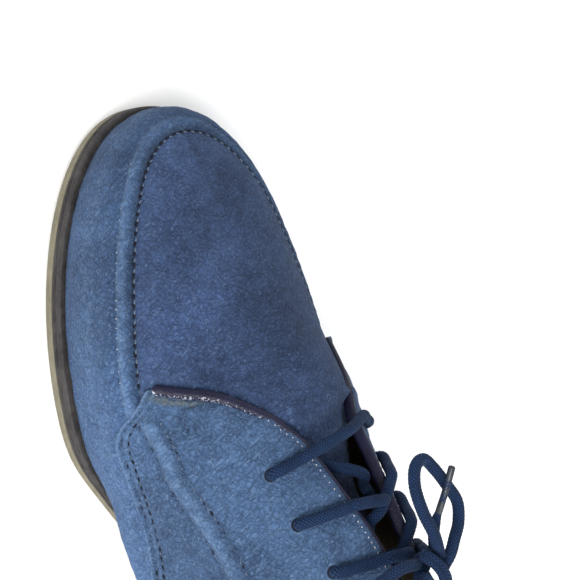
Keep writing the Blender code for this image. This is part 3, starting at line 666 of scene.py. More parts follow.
def tubeFaces(rows, sides):
    # rings joined round, with a cap on each end
    return gridFaces(rows, sides, True) + [list(range(sides - 1, -1, -1)),
                                           [(rows - 1) * sides + k for k in range(sides)]]


def tubeUv(run, sides):
    return np.stack(np.broadcast_arrays(run[:, None], (np.arange(sides) / sides)[None]), -1)


def twice(values, back):
    return None if values is None else np.concatenate((values.ravel(), values.ravel() * back))


def sheetPiece(name, outer, inner, materials, wearAndGlint=None, tone=None, dust=None, rims=(0, -1)):
    # slab between two grids; materials are (face, back and rim); rims are the end rows to close
    rows, columns = outer.shape[:2]
    count = rows * columns
    front = gridFaces(rows, columns)
    back = [[count + v for v in reversed(f)] for f in front]
    rim = []
    for row in (rows - 1 if end else 0 for end in rims):
        rim += [(row * columns + c, row * columns + c + 1) for c in range(columns - 1)]
    for column in (0, columns - 1):
        rim += [(r * columns + column, (r + 1) * columns + column) for r in range(rows - 1)]
    rim = [[a, b, count + b, count + a] for a, b in rim]
    which = [0] * len(front) + [len(materials) - 1] * len(back) + [0] * len(rim)
    return addPiece(name, np.concatenate((outer, inner)), front + back + rim, materials,
                    wearAndGlint=twice(wearAndGlint, 0.0), tone=twice(tone, 1.0), dust=twice(dust, 1.0), faceMaterial=which)


def frameAlong(path, normal=None):
    # unit vectors out and across for each point; without a normal the frame is carried along
    tangent = unit(np.gradient(path, axis=0))
    if normal is not None:
        across = unit(np.cross(tangent, normal))
        return unit(np.cross(across, tangent)), across
    out = np.empty_like(path)
    ref = np.array((0.0, 0.0, 1.0)) if abs(tangent[0, 2]) < 0.9 else np.array((0.0, 1.0, 0.0))
    for i, t in enumerate(tangent):
        ref = unit(ref - t * np.dot(ref, t))
        out[i] = ref
    return out, unit(np.cross(tangent, out))


def catmull(knots, count):
    # smooth path through the knots, with even steps
    p = [np.array(k, float) for k in knots]
    p = [2 * p[0] - p[1]] + p + [2 * p[-1] - p[-2]]
    dense = []
    for i in range(1, len(p) - 2):
        for t in np.arange(24) / 24.0:
            dense.append(0.5 * (2 * p[i] + (p[i + 1] - p[i - 1]) * t
                                + (2 * p[i - 1] - 5 * p[i] + 4 * p[i + 1] - p[i + 2]) * t * t
                                + (3 * p[i] - p[i - 1] - 3 * p[i + 1] + p[i + 2]) * t ** 3))
    dense.append(p[-2])
    return resample(np.array(dense), count)


# Bow points are to the lateral side, out and forward from the middle of the knot.
laces = {
    "rows": {1: (129.0, 146.0, 163.5, 180.0), -1: (126.5, 138.5, 152.5, 170.0)},
    "inset": {1: (16.5, 19.2, 18.0, 15.5), -1: (15.0, 15.0, 15.0, 15.0)},
    "bowAt": 174.0, "knotRise": 4.6, "perStep": 0.45, "sides": 16,
    "braidDepth": 0.12, "braidPitch": 2.6, "braidTurns": 4.0,
    "endRadius": 2.0,
    "knot": {"points": 25, "perTurn": 20, "radius": 2.2, "tall": 4.3, "wide": 4.8, "growth": 0.02,
             "slant": 1.6, "drift": 0.09},
    "LoopMedial": ((-3.9, 3.2, 3.5), (-1.6, 6.9, 11.5), (0.0, 7.8, 20.0), (-0.4, 8.5, 28.4),
                   (-3.2, 9.5, 34.4), (-7.9, 10.0, 35.6), (-11.4, 9.5, 31.0), (-14.9, 8.5, 24.4),
                   (-17.7, 7.5, 17.2), (-15.4, 6.5, 10.8), (-10.6, 6.2, 6.6), (-7.4, 4.8, 2.8),
                   (-3.6, 2.8, -0.2)),
    "LoopLateral": ((3.3, 3.2, -3.6), (9.6, 7.6, -12.0), (19.0, 8.5, -20.0), (29.0, 5.5, -24.0),
                    (36.0, 0.5, -21.0), (37.0, -2.0, -14.0), (30.0, 2.0, -8.0), (19.0, 5.5, -3.2),
                    (7.0, 4.6, 0.4)),
    "EndMedial": ((-6.2, -0.8, 4.7), (-6.7, 3.0, 12.5), (-8.1, 8.0, 18.3), (-9.7, 12.5, 23.6),
                  (-12.4, 16.5, 29.7)),
    "EndLateral": ((4.8, 0.4, 4.7), (16.0, 3.0, 7.0), (26.0, -2.0, 5.0), (34.0, -10.0, 0.0),
                   (39.0, -20.0, -7.0), (41.5, -30.0, -12.0)),
}
aglet = {"length": 17.0, "radius": 1.25, "crimps": 3, "sides": 14}


def facingColumn(s):
    return 20.0 + 10.0 * (s - spine["corner"]) / (spine["top"] - spine["corner"])


def onFacing(side, s, height, inset=0.0):
    column = facingColumn(s)
    where = downFromEdge(side, column, inset) if inset > 0.0 else 4.0
    p = skin(side * column, where) + skinNormal(side * column, min(where, 3.95)) * height
    return p + side * min(inset, 0.0) * sideways


def overRidge(s, height):
    return ridgePoint(s) + overDirection(s) * height


def eyeletAt(side, row):
    column = facingColumn(laces["rows"][side][row])
    where = downFromEdge(side, column, laces["inset"][side][row])
    return skin(side * column, where), skinNormal(side * column, where)


def intoEyelet(side, row, toward):
    # the strand's last points: over the lip of the hole and down into it
    centre, normal = eyeletAt(side, row)
    lean = unit(toward - centre)
    return [centre - normal * 2.4, centre + normal * 0.4 + lean * 0.3, centre + normal * 2.7 + lean * 2.2]


def barKnots(row, lift):
    sa, sb = laces["rows"][1][row], laces["rows"][-1][row]
    height = shoe["laceRadius"] + 0.9
    near = onFacing(1, sa, height + 0.2, 6.0)
    far = onFacing(-1, sb, height + 0.2, 6.0)
    return (intoEyelet(1, row, near)
            + [near, onFacing(1, sa, height + 0.3), overRidge(min(sa, sb), height + lift),
               onFacing(-1, sb, height + 0.3), far]
            + intoEyelet(-1, row, far)[::-1])


def crossKnots(side, row, lift):
    sa, sb = laces["rows"][side][row], laces["rows"][-side][row + 1]
    step = sb - sa
    height = shoe["laceRadius"] + 1.4
    under = -(shoe["wall"] + shoe["laceRadius"] + 1.6)
    near = onFacing(side, sa + step * 0.16, height + 0.2, 8.0)
    return intoEyelet(side, row, near) + [
        near, onFacing(side, sa + step * 0.26, height + 0.3, 1.0),
        onFacing(side, sa + step * 0.33, height + 1.2, -2.6), overRidge(sa + step * 0.5, lift - 1.5),
        onFacing(-side, sa + step * 0.63, under + 0.6, -2.6),
        onFacing(-side, sa + step * 0.72, under - 1.2, 0.4), onFacing(-side, sa + step * 0.90, under, 8.5)]


def insideKnots():
    inside = -(shoe["wall"] + shoe["laceRadius"] + 0.8)
    return [onFacing(1, 128.0, inside, 9.0), onFacing(1, 131.0, inside, 3.0),
            onFacing(1, 134.0, inside + 0.8, -3.0), overRidge(139.0, -3.4), onFacing(-1, 145.0, inside, -2.5),
            onFacing(-1, 150.0, inside - 0.6, 3.0), onFacing(-1, 156.0, inside, 10.0)]


def lacePiece(name, knots, radius=shoe["laceRadius"], sleeve=0.0):
    # a sleeve pinches the last of the lace so that its tip fits over it
    count = max(24, int(runLength(catmull(knots, 200))[-1] / laces["perStep"]))
    path = catmull(knots, count)
    out, across = frameAlong(path)
    sides, depth = laces["sides"], laces["braidDepth"]
    length = runLength(path)
    run, turn = length[:, None], (np.arange(sides) / sides)[None]
    weave = 1.0
    for hand in (1, -1):
        strand = run / laces["braidPitch"] + hand * laces["braidTurns"] * turn
        weave = weave * np.abs(np.sin(fullTurn * strand))
    if sleeve > 0.0:
        radius = radius * (1.0 - 0.4 * ease(run, length[-1] - sleeve - 5.0, length[-1] - sleeve + 1.0))
    angle = turn * fullTurn
    around = out[:, None] * np.cos(angle)[..., None] + across[:, None] * np.sin(angle)[..., None]
    rings = path[:, None] + around * (radius - depth / 2 + depth * weave)[..., None]
    return addPiece(name, rings, tubeFaces(count, sides), [finish["braid"]],
                    tubeUv(length, sides), merge=False), path


def laceTip(name, path):
    # hard sleeve over the last of the lace, slightly waisted, with a rounded nose
    run = runLength(path)
    line = sample(path, run, np.linspace(run[-1] - aglet["length"], run[-1], 40))
    t = np.linspace(0.0, 1.0, 40)
    crimp = 0.05 * np.sin(t * math.pi) ** 2 + 0.02 * np.cos(t * fullTurn * aglet["crimps"])
    radius = aglet["radius"] * (1.0 - crimp)
    line = np.concatenate((line, line[-1:] + (line[-1:] - line[-2:-1]) * np.array(((0.6,), (1.1,)))))
    radius = np.concatenate((radius, (radius[-1] * 0.8, radius[-1] * 0.35)))
    return sweptPiece(name, line, frameAlong(line), radius, radius, aglet["sides"], finish["tip"])


def sweptPiece(name, path, frames, tall, wide, sides, material, wearAndGlint=None, power=2.0):
    # swept ellipse: tall along out, wide along across, both half sizes
    out, across = frames
    angle = np.arange(sides) * fullTurn / sides
    ca, sa = (np.sign(v) * np.abs(v) ** (2.0 / power) for v in (np.cos(angle), np.sin(angle)))
    rings = (path[:, None] + out[:, None] * ca[None, :, None] * tall[:, None, None]
             + across[:, None] * sa[None, :, None] * wide[:, None, None])
    return addPiece(name, rings, tubeFaces(len(path), sides), [material],
                    tubeUv(runLength(path), sides), wearAndGlint, merge=False)


def bowFrame():
    out = overDirection(laces["bowAt"])
    forward = unit(np.cross(out, sideways))
    if forward[1] > 0:
        forward = -forward
    return overRidge(laces["bowAt"], shoe["laceRadius"] + laces["knotRise"]), out, forward


def makeLaces():
    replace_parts(lacePiece("laceBarFirst", barKnots(0, 0.2))[0], "lace_bar")
    for row, label in ((1, "Lower"), (2, "Upper")):
        lacePiece("laceUnder" + label, crossKnots(-1, row, -1.8))
        over = lacePiece("laceOver" + label, crossKnots(1, row, 1.8))[0]
        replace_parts(over, "lace_cross_" + label.lower())
    lacePiece("laceInside", insideKnots())
    lacePiece("laceBarTop", barKnots(3, laces["knotRise"] - 0.6))
    centre, out, forward = bowFrame()
    knot, wrap = laces["knot"], []
    for k in range(knot["points"]):
        angle, reach = fullTurn * k / knot["perTurn"], 1.0 + knot["growth"] * k
        aside = knot["slant"] * math.sin(angle) + knot["drift"] * (k - knot["points"] // 2)
        wrap.append(centre + out * math.cos(angle) * knot["tall"] * reach
                    + forward * math.sin(angle) * knot["wide"] * reach + sideways * aside)
    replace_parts(lacePiece("laceKnotWrap", wrap, knot["radius"])[0], "lace_knot")
    for kind, side in (("Loop", "Medial"), ("Loop", "Lateral"), ("End", "Medial"), ("End", "Lateral")):
        steps = [centre + sideways * x + out * o + forward * f for x, o, f in laces[kind + side]]
        name = "lace" + kind + side
        if kind == "Loop":
            cord, path = lacePiece(name, steps)
            farEnd, tips = "object", []
        else:
            cord, path = lacePiece(name, steps, laces["endRadius"], aglet["length"])
            farEnd, tips = "fitting", [laceTip(name + "Tip", path)]
        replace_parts(cord, "lace_" + kind.lower() + "_" + side.lower())


makeLaces()
print("laces run")

# column, where along each border of a quarter; the medial one starts further back
panels = {
    1: {"low": ((11.0, 3.04), (11.38, 2.97), (11.75, 2.77), (12.5, 2.48), (14.2, 2.10), (15.5, 2.03),
                (17.6, 2.05), (20.1, 2.05), (21.5, 1.99), (23.0, 1.88), (24.6, 1.72), (28.0, 1.15),
                (32.0, 0.3), (35.0, 0.0), (44.0, 0.0)),
        "high": ((11.0, 3.08), (11.12, 3.13), (11.5, 3.205), (12.12, 3.295), (13.38, 3.415), (15.0, 3.545),
                 (16.62, 3.68), (19.0, 3.90), (20.6, 4.0), (44.0, 4.0))},
    -1: {"low": ((13.3, 2.98), (13.8, 2.84), (14.4, 2.58), (15.6, 2.2), (16.9, 2.11), (20.1, 2.05),
                 (21.6, 1.93), (23.1, 1.74), (24.9, 1.38), (28.0, 0.7), (32.0, 0.16), (35.0, 0.0),
                 (44.0, 0.0)),
         "high": ((13.3, 3.02), (13.9, 3.10), (14.7, 3.20), (15.8, 3.34), (17.0, 3.52), (18.3, 3.72),
                  (19.5, 3.9), (21.0, 4.0), (44.0, 4.0))},
}
facingSeam = ((11.4, 3.04), (12.5, 3.07), (15.0, 3.11), (17.5, 3.14), (19.8, 3.16), (22.3, 3.19),
              (24.5, 3.21), (30.0, 3.2), (44.0, 3.2))    # needle row beside the padded seam
upper = {"vampTo": 33.0, "closedFrom": 33.0, "closedTo": 35.5, "quarterLift": 1.4, "lip": 1.5,
         "quarterBack": -0.4, "liningStart": 20.5, "liningFrom": -0.5, "liningTo": -2.3}
seam = {"fadeFrom": 12.2, "fadeTo": 13.4, "ridgeAt": 4.1, "ridgeHalf": 2.5, "ridgeLift": 1.5, "gather": 4.3,
        "puffAt": 10.5, "puffHalf": 4.5, "puffLift": 0.7, "outerAt": 7.0,
        "facingAt": 3.6, "facingHalf": 2.7, "facingLift": 1.7,
        "facingOuter": 7.2, "quarterRows": (2.6, 5.4)}
# short folds pressed into the leather: ends as (column, where), depth and half width
folds = {
    "wall": (((8.1, 1.85), (9.9, 1.40), 0.35, 0.7), ((8.3, 2.45), (9.8, 1.9), 0.3, 0.6),
             ((5.5, 1.9), (6.9, 1.5), 0.25, 0.7), ((10.9, 2.2), (12.2, 1.75), 0.3, 0.6),
             ((-7.0, 1.9), (-9.0, 1.5), 0.3, 0.8)),
    "quarter": (((12.9, 3.22), (13.2, 3.32), 0.55, 0.5), ((13.3, 3.2), (14.9, 3.23), 0.6, 0.5),
                ((13.9, 3.28), (15.2, 3.25), 0.45, 0.5), ((31.0, 3.2), (33.5, 2.4), 0.8, 1.6),
                ((32.0, 2.9), (34.6, 2.0), 0.7, 1.4), ((-31.0, 3.1), (-33.5, 2.3), 0.8, 1.6),
                ((36.0, 1.6), (38.5, 2.4), 0.4, 1.4)),
    "plug": (((8.9, 3.25), (9.3, 3.65), 0.22, 0.9), ((11.5, 3.45), (12.0, 3.95), 0.3, 1.6),
             ((-11.0, 3.5), (-11.8, 3.95), 0.3, 1.6), ((13.5, 3.6), (14.2, 3.97), 0.35, 1.6),
             ((5.5, 3.3), (6.5, 3.6), 0.18, 0.8)),
}


def leatherGrid(u, v):
    u, where = np.meshgrid(u, v)
    return u, where, skin(u, where), skinNormal(u, where)


def distanceToEdges(grid):
    # millimetres along each column of a grid to its first and last row
    step = np.linalg.norm(np.diff(grid, axis=0), axis=-1)
    run = np.concatenate((np.zeros((1, grid.shape[1])), np.cumsum(step, axis=0)))
    return run, run[-1] - run


def lipShape(distance, radius):
    return np.sqrt(1.0 - (1.0 - np.clip(distance / radius, 0.0, 1.0)) ** 2)


def foldField(points, which):
    # how far the leather is pressed in near each fold, with a low bank on each side of it
    total = np.zeros(points.shape[:-1])
    for start, stop, depth, half in folds[which]:
        line = skin(np.linspace(start[0], stop[0], 12), np.linspace(start[1], stop[1], 12))
        nearest = np.full(points.shape[:-1], 1e9)
        for a, run in zip(line, np.diff(line, axis=0)):
            t = np.clip(np.sum((points - a) * run, -1) / np.sum(run * run), 0.0, 1.0)
            nearest = np.minimum(nearest, np.linalg.norm(points - a - t[..., None] * run, axis=-1))
        reach = 0.55 * np.linalg.norm(line[-1] - line[0]) + half
        middle = np.linalg.norm(points - line[6], axis=-1) / reach
        pressed = bellAt(nearest, 0.0, half) - 0.35 * bellAt(nearest, 1.9 * half, half)
        total += depth * pressed * np.clip(1.15 - middle ** 2, 0.0, 1.0)
    return total


def makeVamp():
    u, where, base, normal = leatherGrid(
        np.concatenate((-np.linspace(upper["vampTo"], 0.12, 230), np.linspace(0.0, upper["vampTo"], 230))),
        np.concatenate((np.linspace(0.0, 2.4, 22), np.linspace(2.42, 3.0, 42))))
    s, toSeam = base[..., 1], distanceToEdges(base)[1]
    fade = 1.0 - ease(np.abs(u), seam["fadeFrom"], seam["fadeTo"])    # the seam dies out under the quarters
    press = foldField(base, "wall")
    gather = 0.10 * np.sin(runLength(skin(u[0], 3.0)) * fullTurn / seam["gather"]) + 0.10 * ripple(base, 3.5)
    cord = bellAt(toSeam, seam["ridgeAt"], seam["ridgeHalf"], 2.6) * (1.0 - 0.5 * ease(-u, -1.0, 4.0))
    lift = fade * (seam["ridgeLift"] * cord * (1.0 + gather)
                   + seam["puffLift"] * bellAt(toSeam, seam["puffAt"], seam["puffHalf"])
                   - 0.45 * bellAt(toSeam, seam["outerAt"], 0.7) - 0.7 * bellAt(toSeam, 0.4, 0.9))
    lift = lift + 0.2 * ripple(base, 9.0) + 0.12 * ripple(base, 3.2, 2.0) - press
    lift -= 0.6 * ease(np.abs(u), 14.0, 18.0) * ease(where, 2.0, 2.4)
    rub = (0.85 - 0.7 * ease(-u, -5.0, 1.0)) * fade * (0.4 + 0.6 * ripple(base, 8.0, 4.0) ** 2)
    wearAndGlint = rub * (bellAt(toSeam, 5.0, 1.9) + 0.8 * bellAt(toSeam, 6.6, 0.6)) + 0.8 * press
    wearAndGlint = np.clip(wearAndGlint + 0.25 * bellAt(where, 1.5, 0.4), 0.0, 1.0)
    # the tone values paint shade and light: painted shade darkens the toe wall on the side away from the key
    # light, the gutter beside the seam, the outer dimple row and the medial side next to the seam; a painted
    # highlight lights the crest of the seam ridge; the wall is also lighter towards the throat and darker
    # round s 62
    tone = 0.16 * ease(s, 70.0, 115.0) - 0.14 * bellAt(s, 62.0, 16.0) - 0.28 * bellAt(s, 5.0, 28.0)
    tone -= 0.12 * ease(-u, 0.0, 4.0) * bellAt(toSeam, 3.0, 3.0)
    tone += fade * (0.22 * bellAt(toSeam, 4.8, 1.9) * ease(u, -4.0, 1.0) - 0.30 * bellAt(toSeam, 1.4, 1.5)
                    - 0.1 * bellAt(toSeam, seam["outerAt"], 1.0))
    item = sheetPiece("vampWall", base + normal * lift[..., None], base - normal * shoe["wall"],
                      [finish["wallSuede"], finish["lining"]], wearAndGlint, tone)
    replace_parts(item, "upper")


tongue = {"drop": 7.2, "clear": 3.0, "thick": 2.0, "reach": 17.0, "from": 17.6, "to": 24.0, "across": 91,
          "startColumn": 20.0, "lastColumn": 29.7, "length": 17.0}


def tongueRow(column):
    # across the plug or tongue at one column, medial side first
    drop = (tongue["drop"] + tongue["clear"]) * float(ease(column, tongue["from"], tongue["to"]))
    low = 3.0
    if column >= 14.0:
        low += (downFromEdge(1, column, tongue["reach"]) - low) * float(ease(column, 14.0, 19.0))
    where = np.linspace(low, 4.0, 40)
    u = max(column, 1e-6)
    medial = skin(-u, where) - skinNormal(-u, where) * drop
    lateral = skin(u, where[::-1]) - skinNormal(u, where[::-1]) * drop
    centre, half = (medial[-1] + lateral[0]) / 2, (lateral[0] - medial[-1]) / 2
    t = np.linspace(-1.0, 1.0, 21)[1:-1, None]
    height = (1.0 - t ** 2) * np.linalg.norm(half) ** 2 / (2.0 * crownRadius)
    row = np.concatenate((medial, centre + half * t + overDirection(centre[1]) * height, lateral))
    keep = np.concatenate([[True], np.linalg.norm(np.diff(row, axis=0), axis=1) > 1e-4])
    return resample(row[keep], tongue["across"])


def makePlug():
    columns = np.concatenate((np.linspace(0.0, 12.0, 90), np.linspace(12.1, tongue["lastColumn"], 130)))
    rows = [tongueRow(column) for column in columns]
    across = np.linspace(-1.0, 1.0, tongue["across"])
    middle = tongue["across"] // 2
    base = rows[-1]
    run = unit(rows[-1][middle] - rows[-4][middle])
    for t in np.linspace(0.06, 1.0, 26):    # the tongue's free end, narrowing and falling back
        reach = tongue["length"] * t * (1.0 - 0.22 * np.abs(across) ** 3)
        rows.append(base[middle] + (base - base[middle]) * (1.0 - 0.26 * t ** 2.2) + run * reach[:, None]
                    + np.array((0.0, -4.0, 1.6)) * t ** 1.6)
    grid = np.array(rows)
    normal = unit(np.cross(np.gradient(grid, axis=1), np.gradient(grid, axis=0)))
    normal *= np.sign(np.sum(normal[..., 2]))
    normal[0] = normal[1]
    column = np.concatenate((columns, np.full(len(rows) - len(columns), 30.0)))[:, None]
    onPlug = 1.0 - ease(column, 17.0, 21.0)
    s, slant = grid[..., 1], grid[..., 1] - 0.5 * grid[..., 0]
    lift = 0.28 * ripple(grid, 16.0, 1.0) + 0.12 * ripple(grid, 4.0, 5.0)
    lift += 0.25 * ripple(grid * np.array((0.3, 1.0, 0.3)), 7.0, 3.0) * (1.0 - onPlug)
    lift *= 1.0 - 0.9 * np.abs(across) ** 12
    lift -= foldField(grid, "plug")
    outer, inner = grid + normal * lift[..., None], grid - normal * tongue["thick"]
    wearAndGlint = 0.3 * (1.0 - onPlug) * np.abs(across) ** 8 + 0.15 * bellAt(np.abs(across), 0.9, 0.12) * onPlug
    # the tone values paint light and shade: lighter on the lateral side and darker on the medial one, a lit
    # diagonal patch and a darker diagonal band, lighter near the toe and towards the throat; the tongue is
    # painted dark for the shade under the facings and laces
    tone = 0.24 * across - 0.06 + 0.16 * bellAt(s, 16.0, 22.0) + 0.12 * ease(s, 90.0, 112.0)
    tone += 0.22 * bellAt(slant, 62.0, 9.0) * bellAt(across, 0.35, 0.4) - 0.10 * bellAt(slant, 40.0, 10.0)
    tone -= 0.62 * ease(column, 20.6, 23.5)
    split = int(np.searchsorted(columns, tongue["startColumn"]))
    for name, part, slot, rims in (("apronPlug", slice(split + 1), "blue_suede", (0,)),
                                   ("tongue", slice(split, None), "tongue_suede", (-1,))):
        look = finish["plugSuede" if name == "apronPlug" else "tongueSuede"]
        item = sheetPiece(name, outer[part], inner[part], [look, finish["lining"]], wearAndGlint[part],
                          tone[part], rims=rims)
    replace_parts(item, "tongue")    # the plug is part of the upper


def makeQuarter(side, name):
    start = panels[side]["low"][0][0]
    columns = np.concatenate((start + (20.0 - start) * np.linspace(0.0, 1.0, 120) ** 1.4,
                              np.linspace(20.1, lastColumn, 170)))
    low, high = (smooth(panels[side][border], columns) for border in ("low", "high"))
    v = np.linspace(0.0, 1.0, 116)[:, None]
    where = low + (high - low) * (v - 0.08 * np.sin(v * fullTurn))
    u = columns * side
    base, normal = skin(u, where), skinNormal(u, where)
    toLow, toHigh = distanceToEdges(base)
    row = smooth(facingSeam, columns)
    below = np.array([np.interp(row[k], where[:, k], toLow[:, k]) for k in range(len(columns))]) - toLow
    # 1 where the low edge runs into the sole
    closed = ease(columns, upper["closedFrom"], upper["closedTo"])
    edge = np.minimum(lipShape(toLow, upper["lip"]) * (1 - closed) + closed,
                      lipShape(toHigh + 0.3, upper["lip"]))
    ridgeFade = ease(columns, start + 0.9, start + 2.4) * (1.0 - ease(columns, 29.0, 36.0))
    cord = bellAt(below, seam["facingAt"], seam["facingHalf"], 3.0) * ridgeFade
    rows = sum(bellAt(toLow, d, 0.55) for d in seam["quarterRows"]) * (1 - closed)
    patch = bellAt(u, 12.3, 1.0, 4.0) * bellAt(toHigh, 4.6, 2.6, 4.0) * (side > 0)    # pale dusty corner
    press = foldField(base, "quarter")
    lift = 0.15 + (upper["quarterLift"] - 0.15 + 1.1 * bellAt(toLow, 1.0, 1.5)) * edge
    lift *= 1.0 - 0.35 * ease(columns, 24.0, 34.0)
    lift += seam["facingLift"] * cord * (1.0 + 0.12 * ripple(base, 4.0))
    lift -= ridgeFade * (0.6 * bellAt(below, 0.0, 0.8) + 0.35 * bellAt(below, seam["facingOuter"], 0.8))
    lift += (0.25 * ripple(base, 11.0, 3.0) + 0.14 * ripple(base, 3.4, 1.0)) * edge - 0.3 * rows
    lift += patch * 0.22 * ripple(base, 1.1, 4.0) - press
    wearAndGlint = 0.8 * cord * (0.35 + 0.65 * ripple(base, 7.0, 2.0) ** 2)
    wearAndGlint += (1.2 * bellAt(toLow, 0.5, 1.0) + 0.35 * bellAt(toLow, 4.0, 0.5)) * (1 - closed)
    # the tone values paint shade and light: a painted highlight on the crest of the padded seam, painted
    # shade in the gutter beside it, along its outer needle row, in the two stitch rows, in the folds and
    # under the bound top edge; lighter along the rolled low edge and round s 130, darker on the dusty corner
    outerRow = bellAt(below, seam["facingOuter"], 1.0)
    tone = ridgeFade * (0.2 * cord - 0.3 * bellAt(below, 0.0, 1.1) - 0.22 * outerRow)
    tone += 0.22 * bellAt(toLow, 0.9, 1.0) * (1 - closed) - 0.2 * rows - 0.5 * np.clip(press, 0.0, 0.6)
    tone += 0.06 * bellAt(base[..., 1], 130.0, 30.0) - 0.28 * patch - 0.25 * bellAt(toHigh, 0.0, 5.0)
    sheetPiece(name, base + normal * lift[..., None], base + normal * upper["quarterBack"],
               [finish["suede"], finish["lining"]], np.clip(wearAndGlint, 0.0, 1.0), tone, patch)


def makeLining():
    u, where, base, normal = leatherGrid(
        np.concatenate((np.linspace(upper["liningStart"], 43.9, 200),
                        -np.linspace(lastColumn, upper["liningStart"], 200))), np.linspace(0.02, 4.0, 60))
    depth = upper["liningTo"] - 0.12 * (1.0 + ripple(base, 12.0, 7.0))
    # the lining is painted darker towards the front, for the shade deep in the throat
    sheetPiece("lining", base + normal * upper["liningFrom"], base + normal * depth[..., None],
               [finish["lining"]], np.zeros_like(where),
               -0.85 * (1.0 - ease(np.abs(u), 26.0, 31.0)))


makeVamp()
makePlug()
makeQuarter(1, "quarterLateral")
makeQuarter(-1, "quarterMedial")
makeLining()
print("upper panels sewn")

binding = {"front": (1.5, 1.05, 1.9), "throat": {1: (1.7, -0.75, 1.15), -1: (2.2, -0.8, 1.3)},
           "turnFrom": 13.0, "turnTo": 22.0,    # half height, lift and half width, changing along the edge
           "noseLength": 1.8, "litFrom": 0.9, "sides": 16}


def bindingLine(side, columns):
    turn = ease(columns, binding["turnFrom"], binding["turnTo"])
    return [a + (b - a) * turn for a, b in zip(binding["front"], binding["throat"][side])]


def settle(values, reach):
    # running average along a line, ends kept
    weights = np.exp(-np.linspace(-2.0, 2.0, 2 * reach + 1) ** 2)
    weights /= weights.sum()
    padded = np.concatenate((2 * values[:1] - values[1:reach + 1][::-1], values,
                             2 * values[-1:] - values[-reach - 1:-1][::-1]))
    return np.stack([np.convolve(padded[:, a], weights, "valid") for a in range(values.shape[1])], -1)


def makeBinding(side, name):
    start = panels[side]["high"][0][0]
    columns = np.concatenate((np.linspace(start + 0.02, 20.0, 260), np.linspace(20.1, lastColumn, 400)))
    where = smooth(panels[side]["high"], columns)
    path, normal = skin(columns * side, where), skinNormal(columns * side, np.minimum(where, 3.97))
    even = settle(resample(np.column_stack((path, normal, *bindingLine(side, columns), columns)), 620), 26)
    path, normal = even[:, :3], unit(even[:, 3:6])
    tall, lift, wide, columns = even[:, 6:].T
    run = runLength(path)
    nose = lipShape(run, binding["noseLength"]) * 0.9 + 0.1
    if side < 0:
        lift = lift - 0.7 * (1.0 - ease(columns, 17.0, 21.0))    # the medial edge lies lower at its front
    path = path + normal * (lift - (1.0 - nose) * 0.8)[:, None]
    # painted glints: the values set here are strongest at the nose and, through lit, on the side of the tube
    # towards the key light
    wearAndGlint = 1.0 + 0.35 * bellAt(run, 0.0, 1.3) + 0.05 * ripple(path, 6.0)
    if side < 0:
        wearAndGlint *= 0.75 + 0.25 * ease(columns, 19.0, 22.0)
    angle = np.arange(binding["sides"]) * fullTurn / binding["sides"]
    lit = np.clip(np.cos(angle - side * binding["litFrom"]), 0.0, 1.0) ** 0.7
    sweptPiece(name, path, frameAlong(path, normal), tall * nose, wide * nose, binding["sides"],
               finish["binding"], wearAndGlint[:, None] * lit, 2.2)


stitches = {    # pitch, half length, half width and height, slant, finish, unevenness, shift in pitches
    "apronHoles": (3.5, (0.95, 0.6, 0.3), 12.0, "hole", 0.12, 0.0),
    "apronThreads": (3.5, (0.95, 0.3, 0.28), 10.0, "thread", 0.12, 0.5),
    "apronDimples": (3.5, (0.6, 0.36, 0.25), 0.0, "hole", 0.12, 0.0),
    "apronFlecks": (3.5, (0.42, 0.3, 0.24), 35.0, "glint", 0.3, 0.5),
    "quarterHoles": (3.4, (0.95, 0.42, 0.3), 0.0, "hole", 0.12, 0.0),
    "quarterThreads": (3.4, (0.6, 0.24, 0.2), 0.0, "thread", 0.2, 0.5),
    "facingHoles": (4.2, (1.1, 0.62, 0.3), 8.0, "hole", 0.12, 0.0),
    "facingThreads": (4.2, (0.95, 0.28, 0.24), 10.0, "thread", 0.12, 0.5),
    "cordHoles": (4.2, (1.0, 0.55, 0.3), 0.0, "hole", 0.12, 0.0),
    "cordThreads": (4.2, (0.7, 0.3, 0.24), 25.0, "thread", 0.3, 0.5),
    "bindingGlints": (2.4, (0.55, 0.26, 0.26), 20.0, "glint", 0.45, 0.0),
}


def stitchRow(kind, label, line, lift):
    # a row of short stitches, or of the holes they pull down into, along a line on the leather; the holes are
    # near-black for painted shade
    pitch, (half, wide, tall), slant, look, uneven, shift = stitches[kind]
    normals = skinNormal(*line)
    dense = skin(*line) + normals * np.broadcast_to(lift, (len(normals),))[:, None]
    run = runLength(dense)
    order = np.arange(int(run[-1] / pitch))
    at = np.clip((order + 0.5 + shift + np.sin(order * 12.9898) * uneven) * pitch, 0.0, run[-1])
    centre, normal = sample(dense, run, at), unit(sample(normals, run, at))
    tangent = unit(sample(dense, run, at + 0.4) - sample(dense, run, at - 0.4))
    lean = np.radians(slant + 8.0 * np.sin(order * 7.31))[:, None]
    along = tangent * np.cos(lean) + unit(np.cross(tangent, normal)) * np.sin(lean)
    cross = unit(np.cross(along, normal))
    sides, steps = 8, 7
    t = np.linspace(-1.0, 1.0, steps)
    if look == "hole":
        fat, sink = np.sqrt(1.0 - t ** 2), 0.0 * t
    else:    # a thread is even in thickness, and its ends dip into their holes
        fat, sink = np.clip(1.0 - t ** 6, 0.02, 1.0), 0.42 * t ** 2
    angle = np.arange(sides) * fullTurn / sides
    across = (fat[:, None] * np.cos(angle) * wide)[..., None]
    up = (fat[:, None] * np.sin(angle) * tall - sink[:, None])[..., None]
    centre, along, cross, normal = (v[:, None, None] for v in (centre, along, cross, normal))
    points = centre + along * (t * half)[:, None, None] + cross * across + normal * up
    single = tubeFaces(steps, sides)
    faces = [[v + k * steps * sides for v in face] for k in order for face in single]
    uv = np.broadcast_to(tubeUv(t * half, sides), (len(order), steps, sides, 2))
    addPiece(kind + label, points, faces, [finish[look]], uv, merge=False)


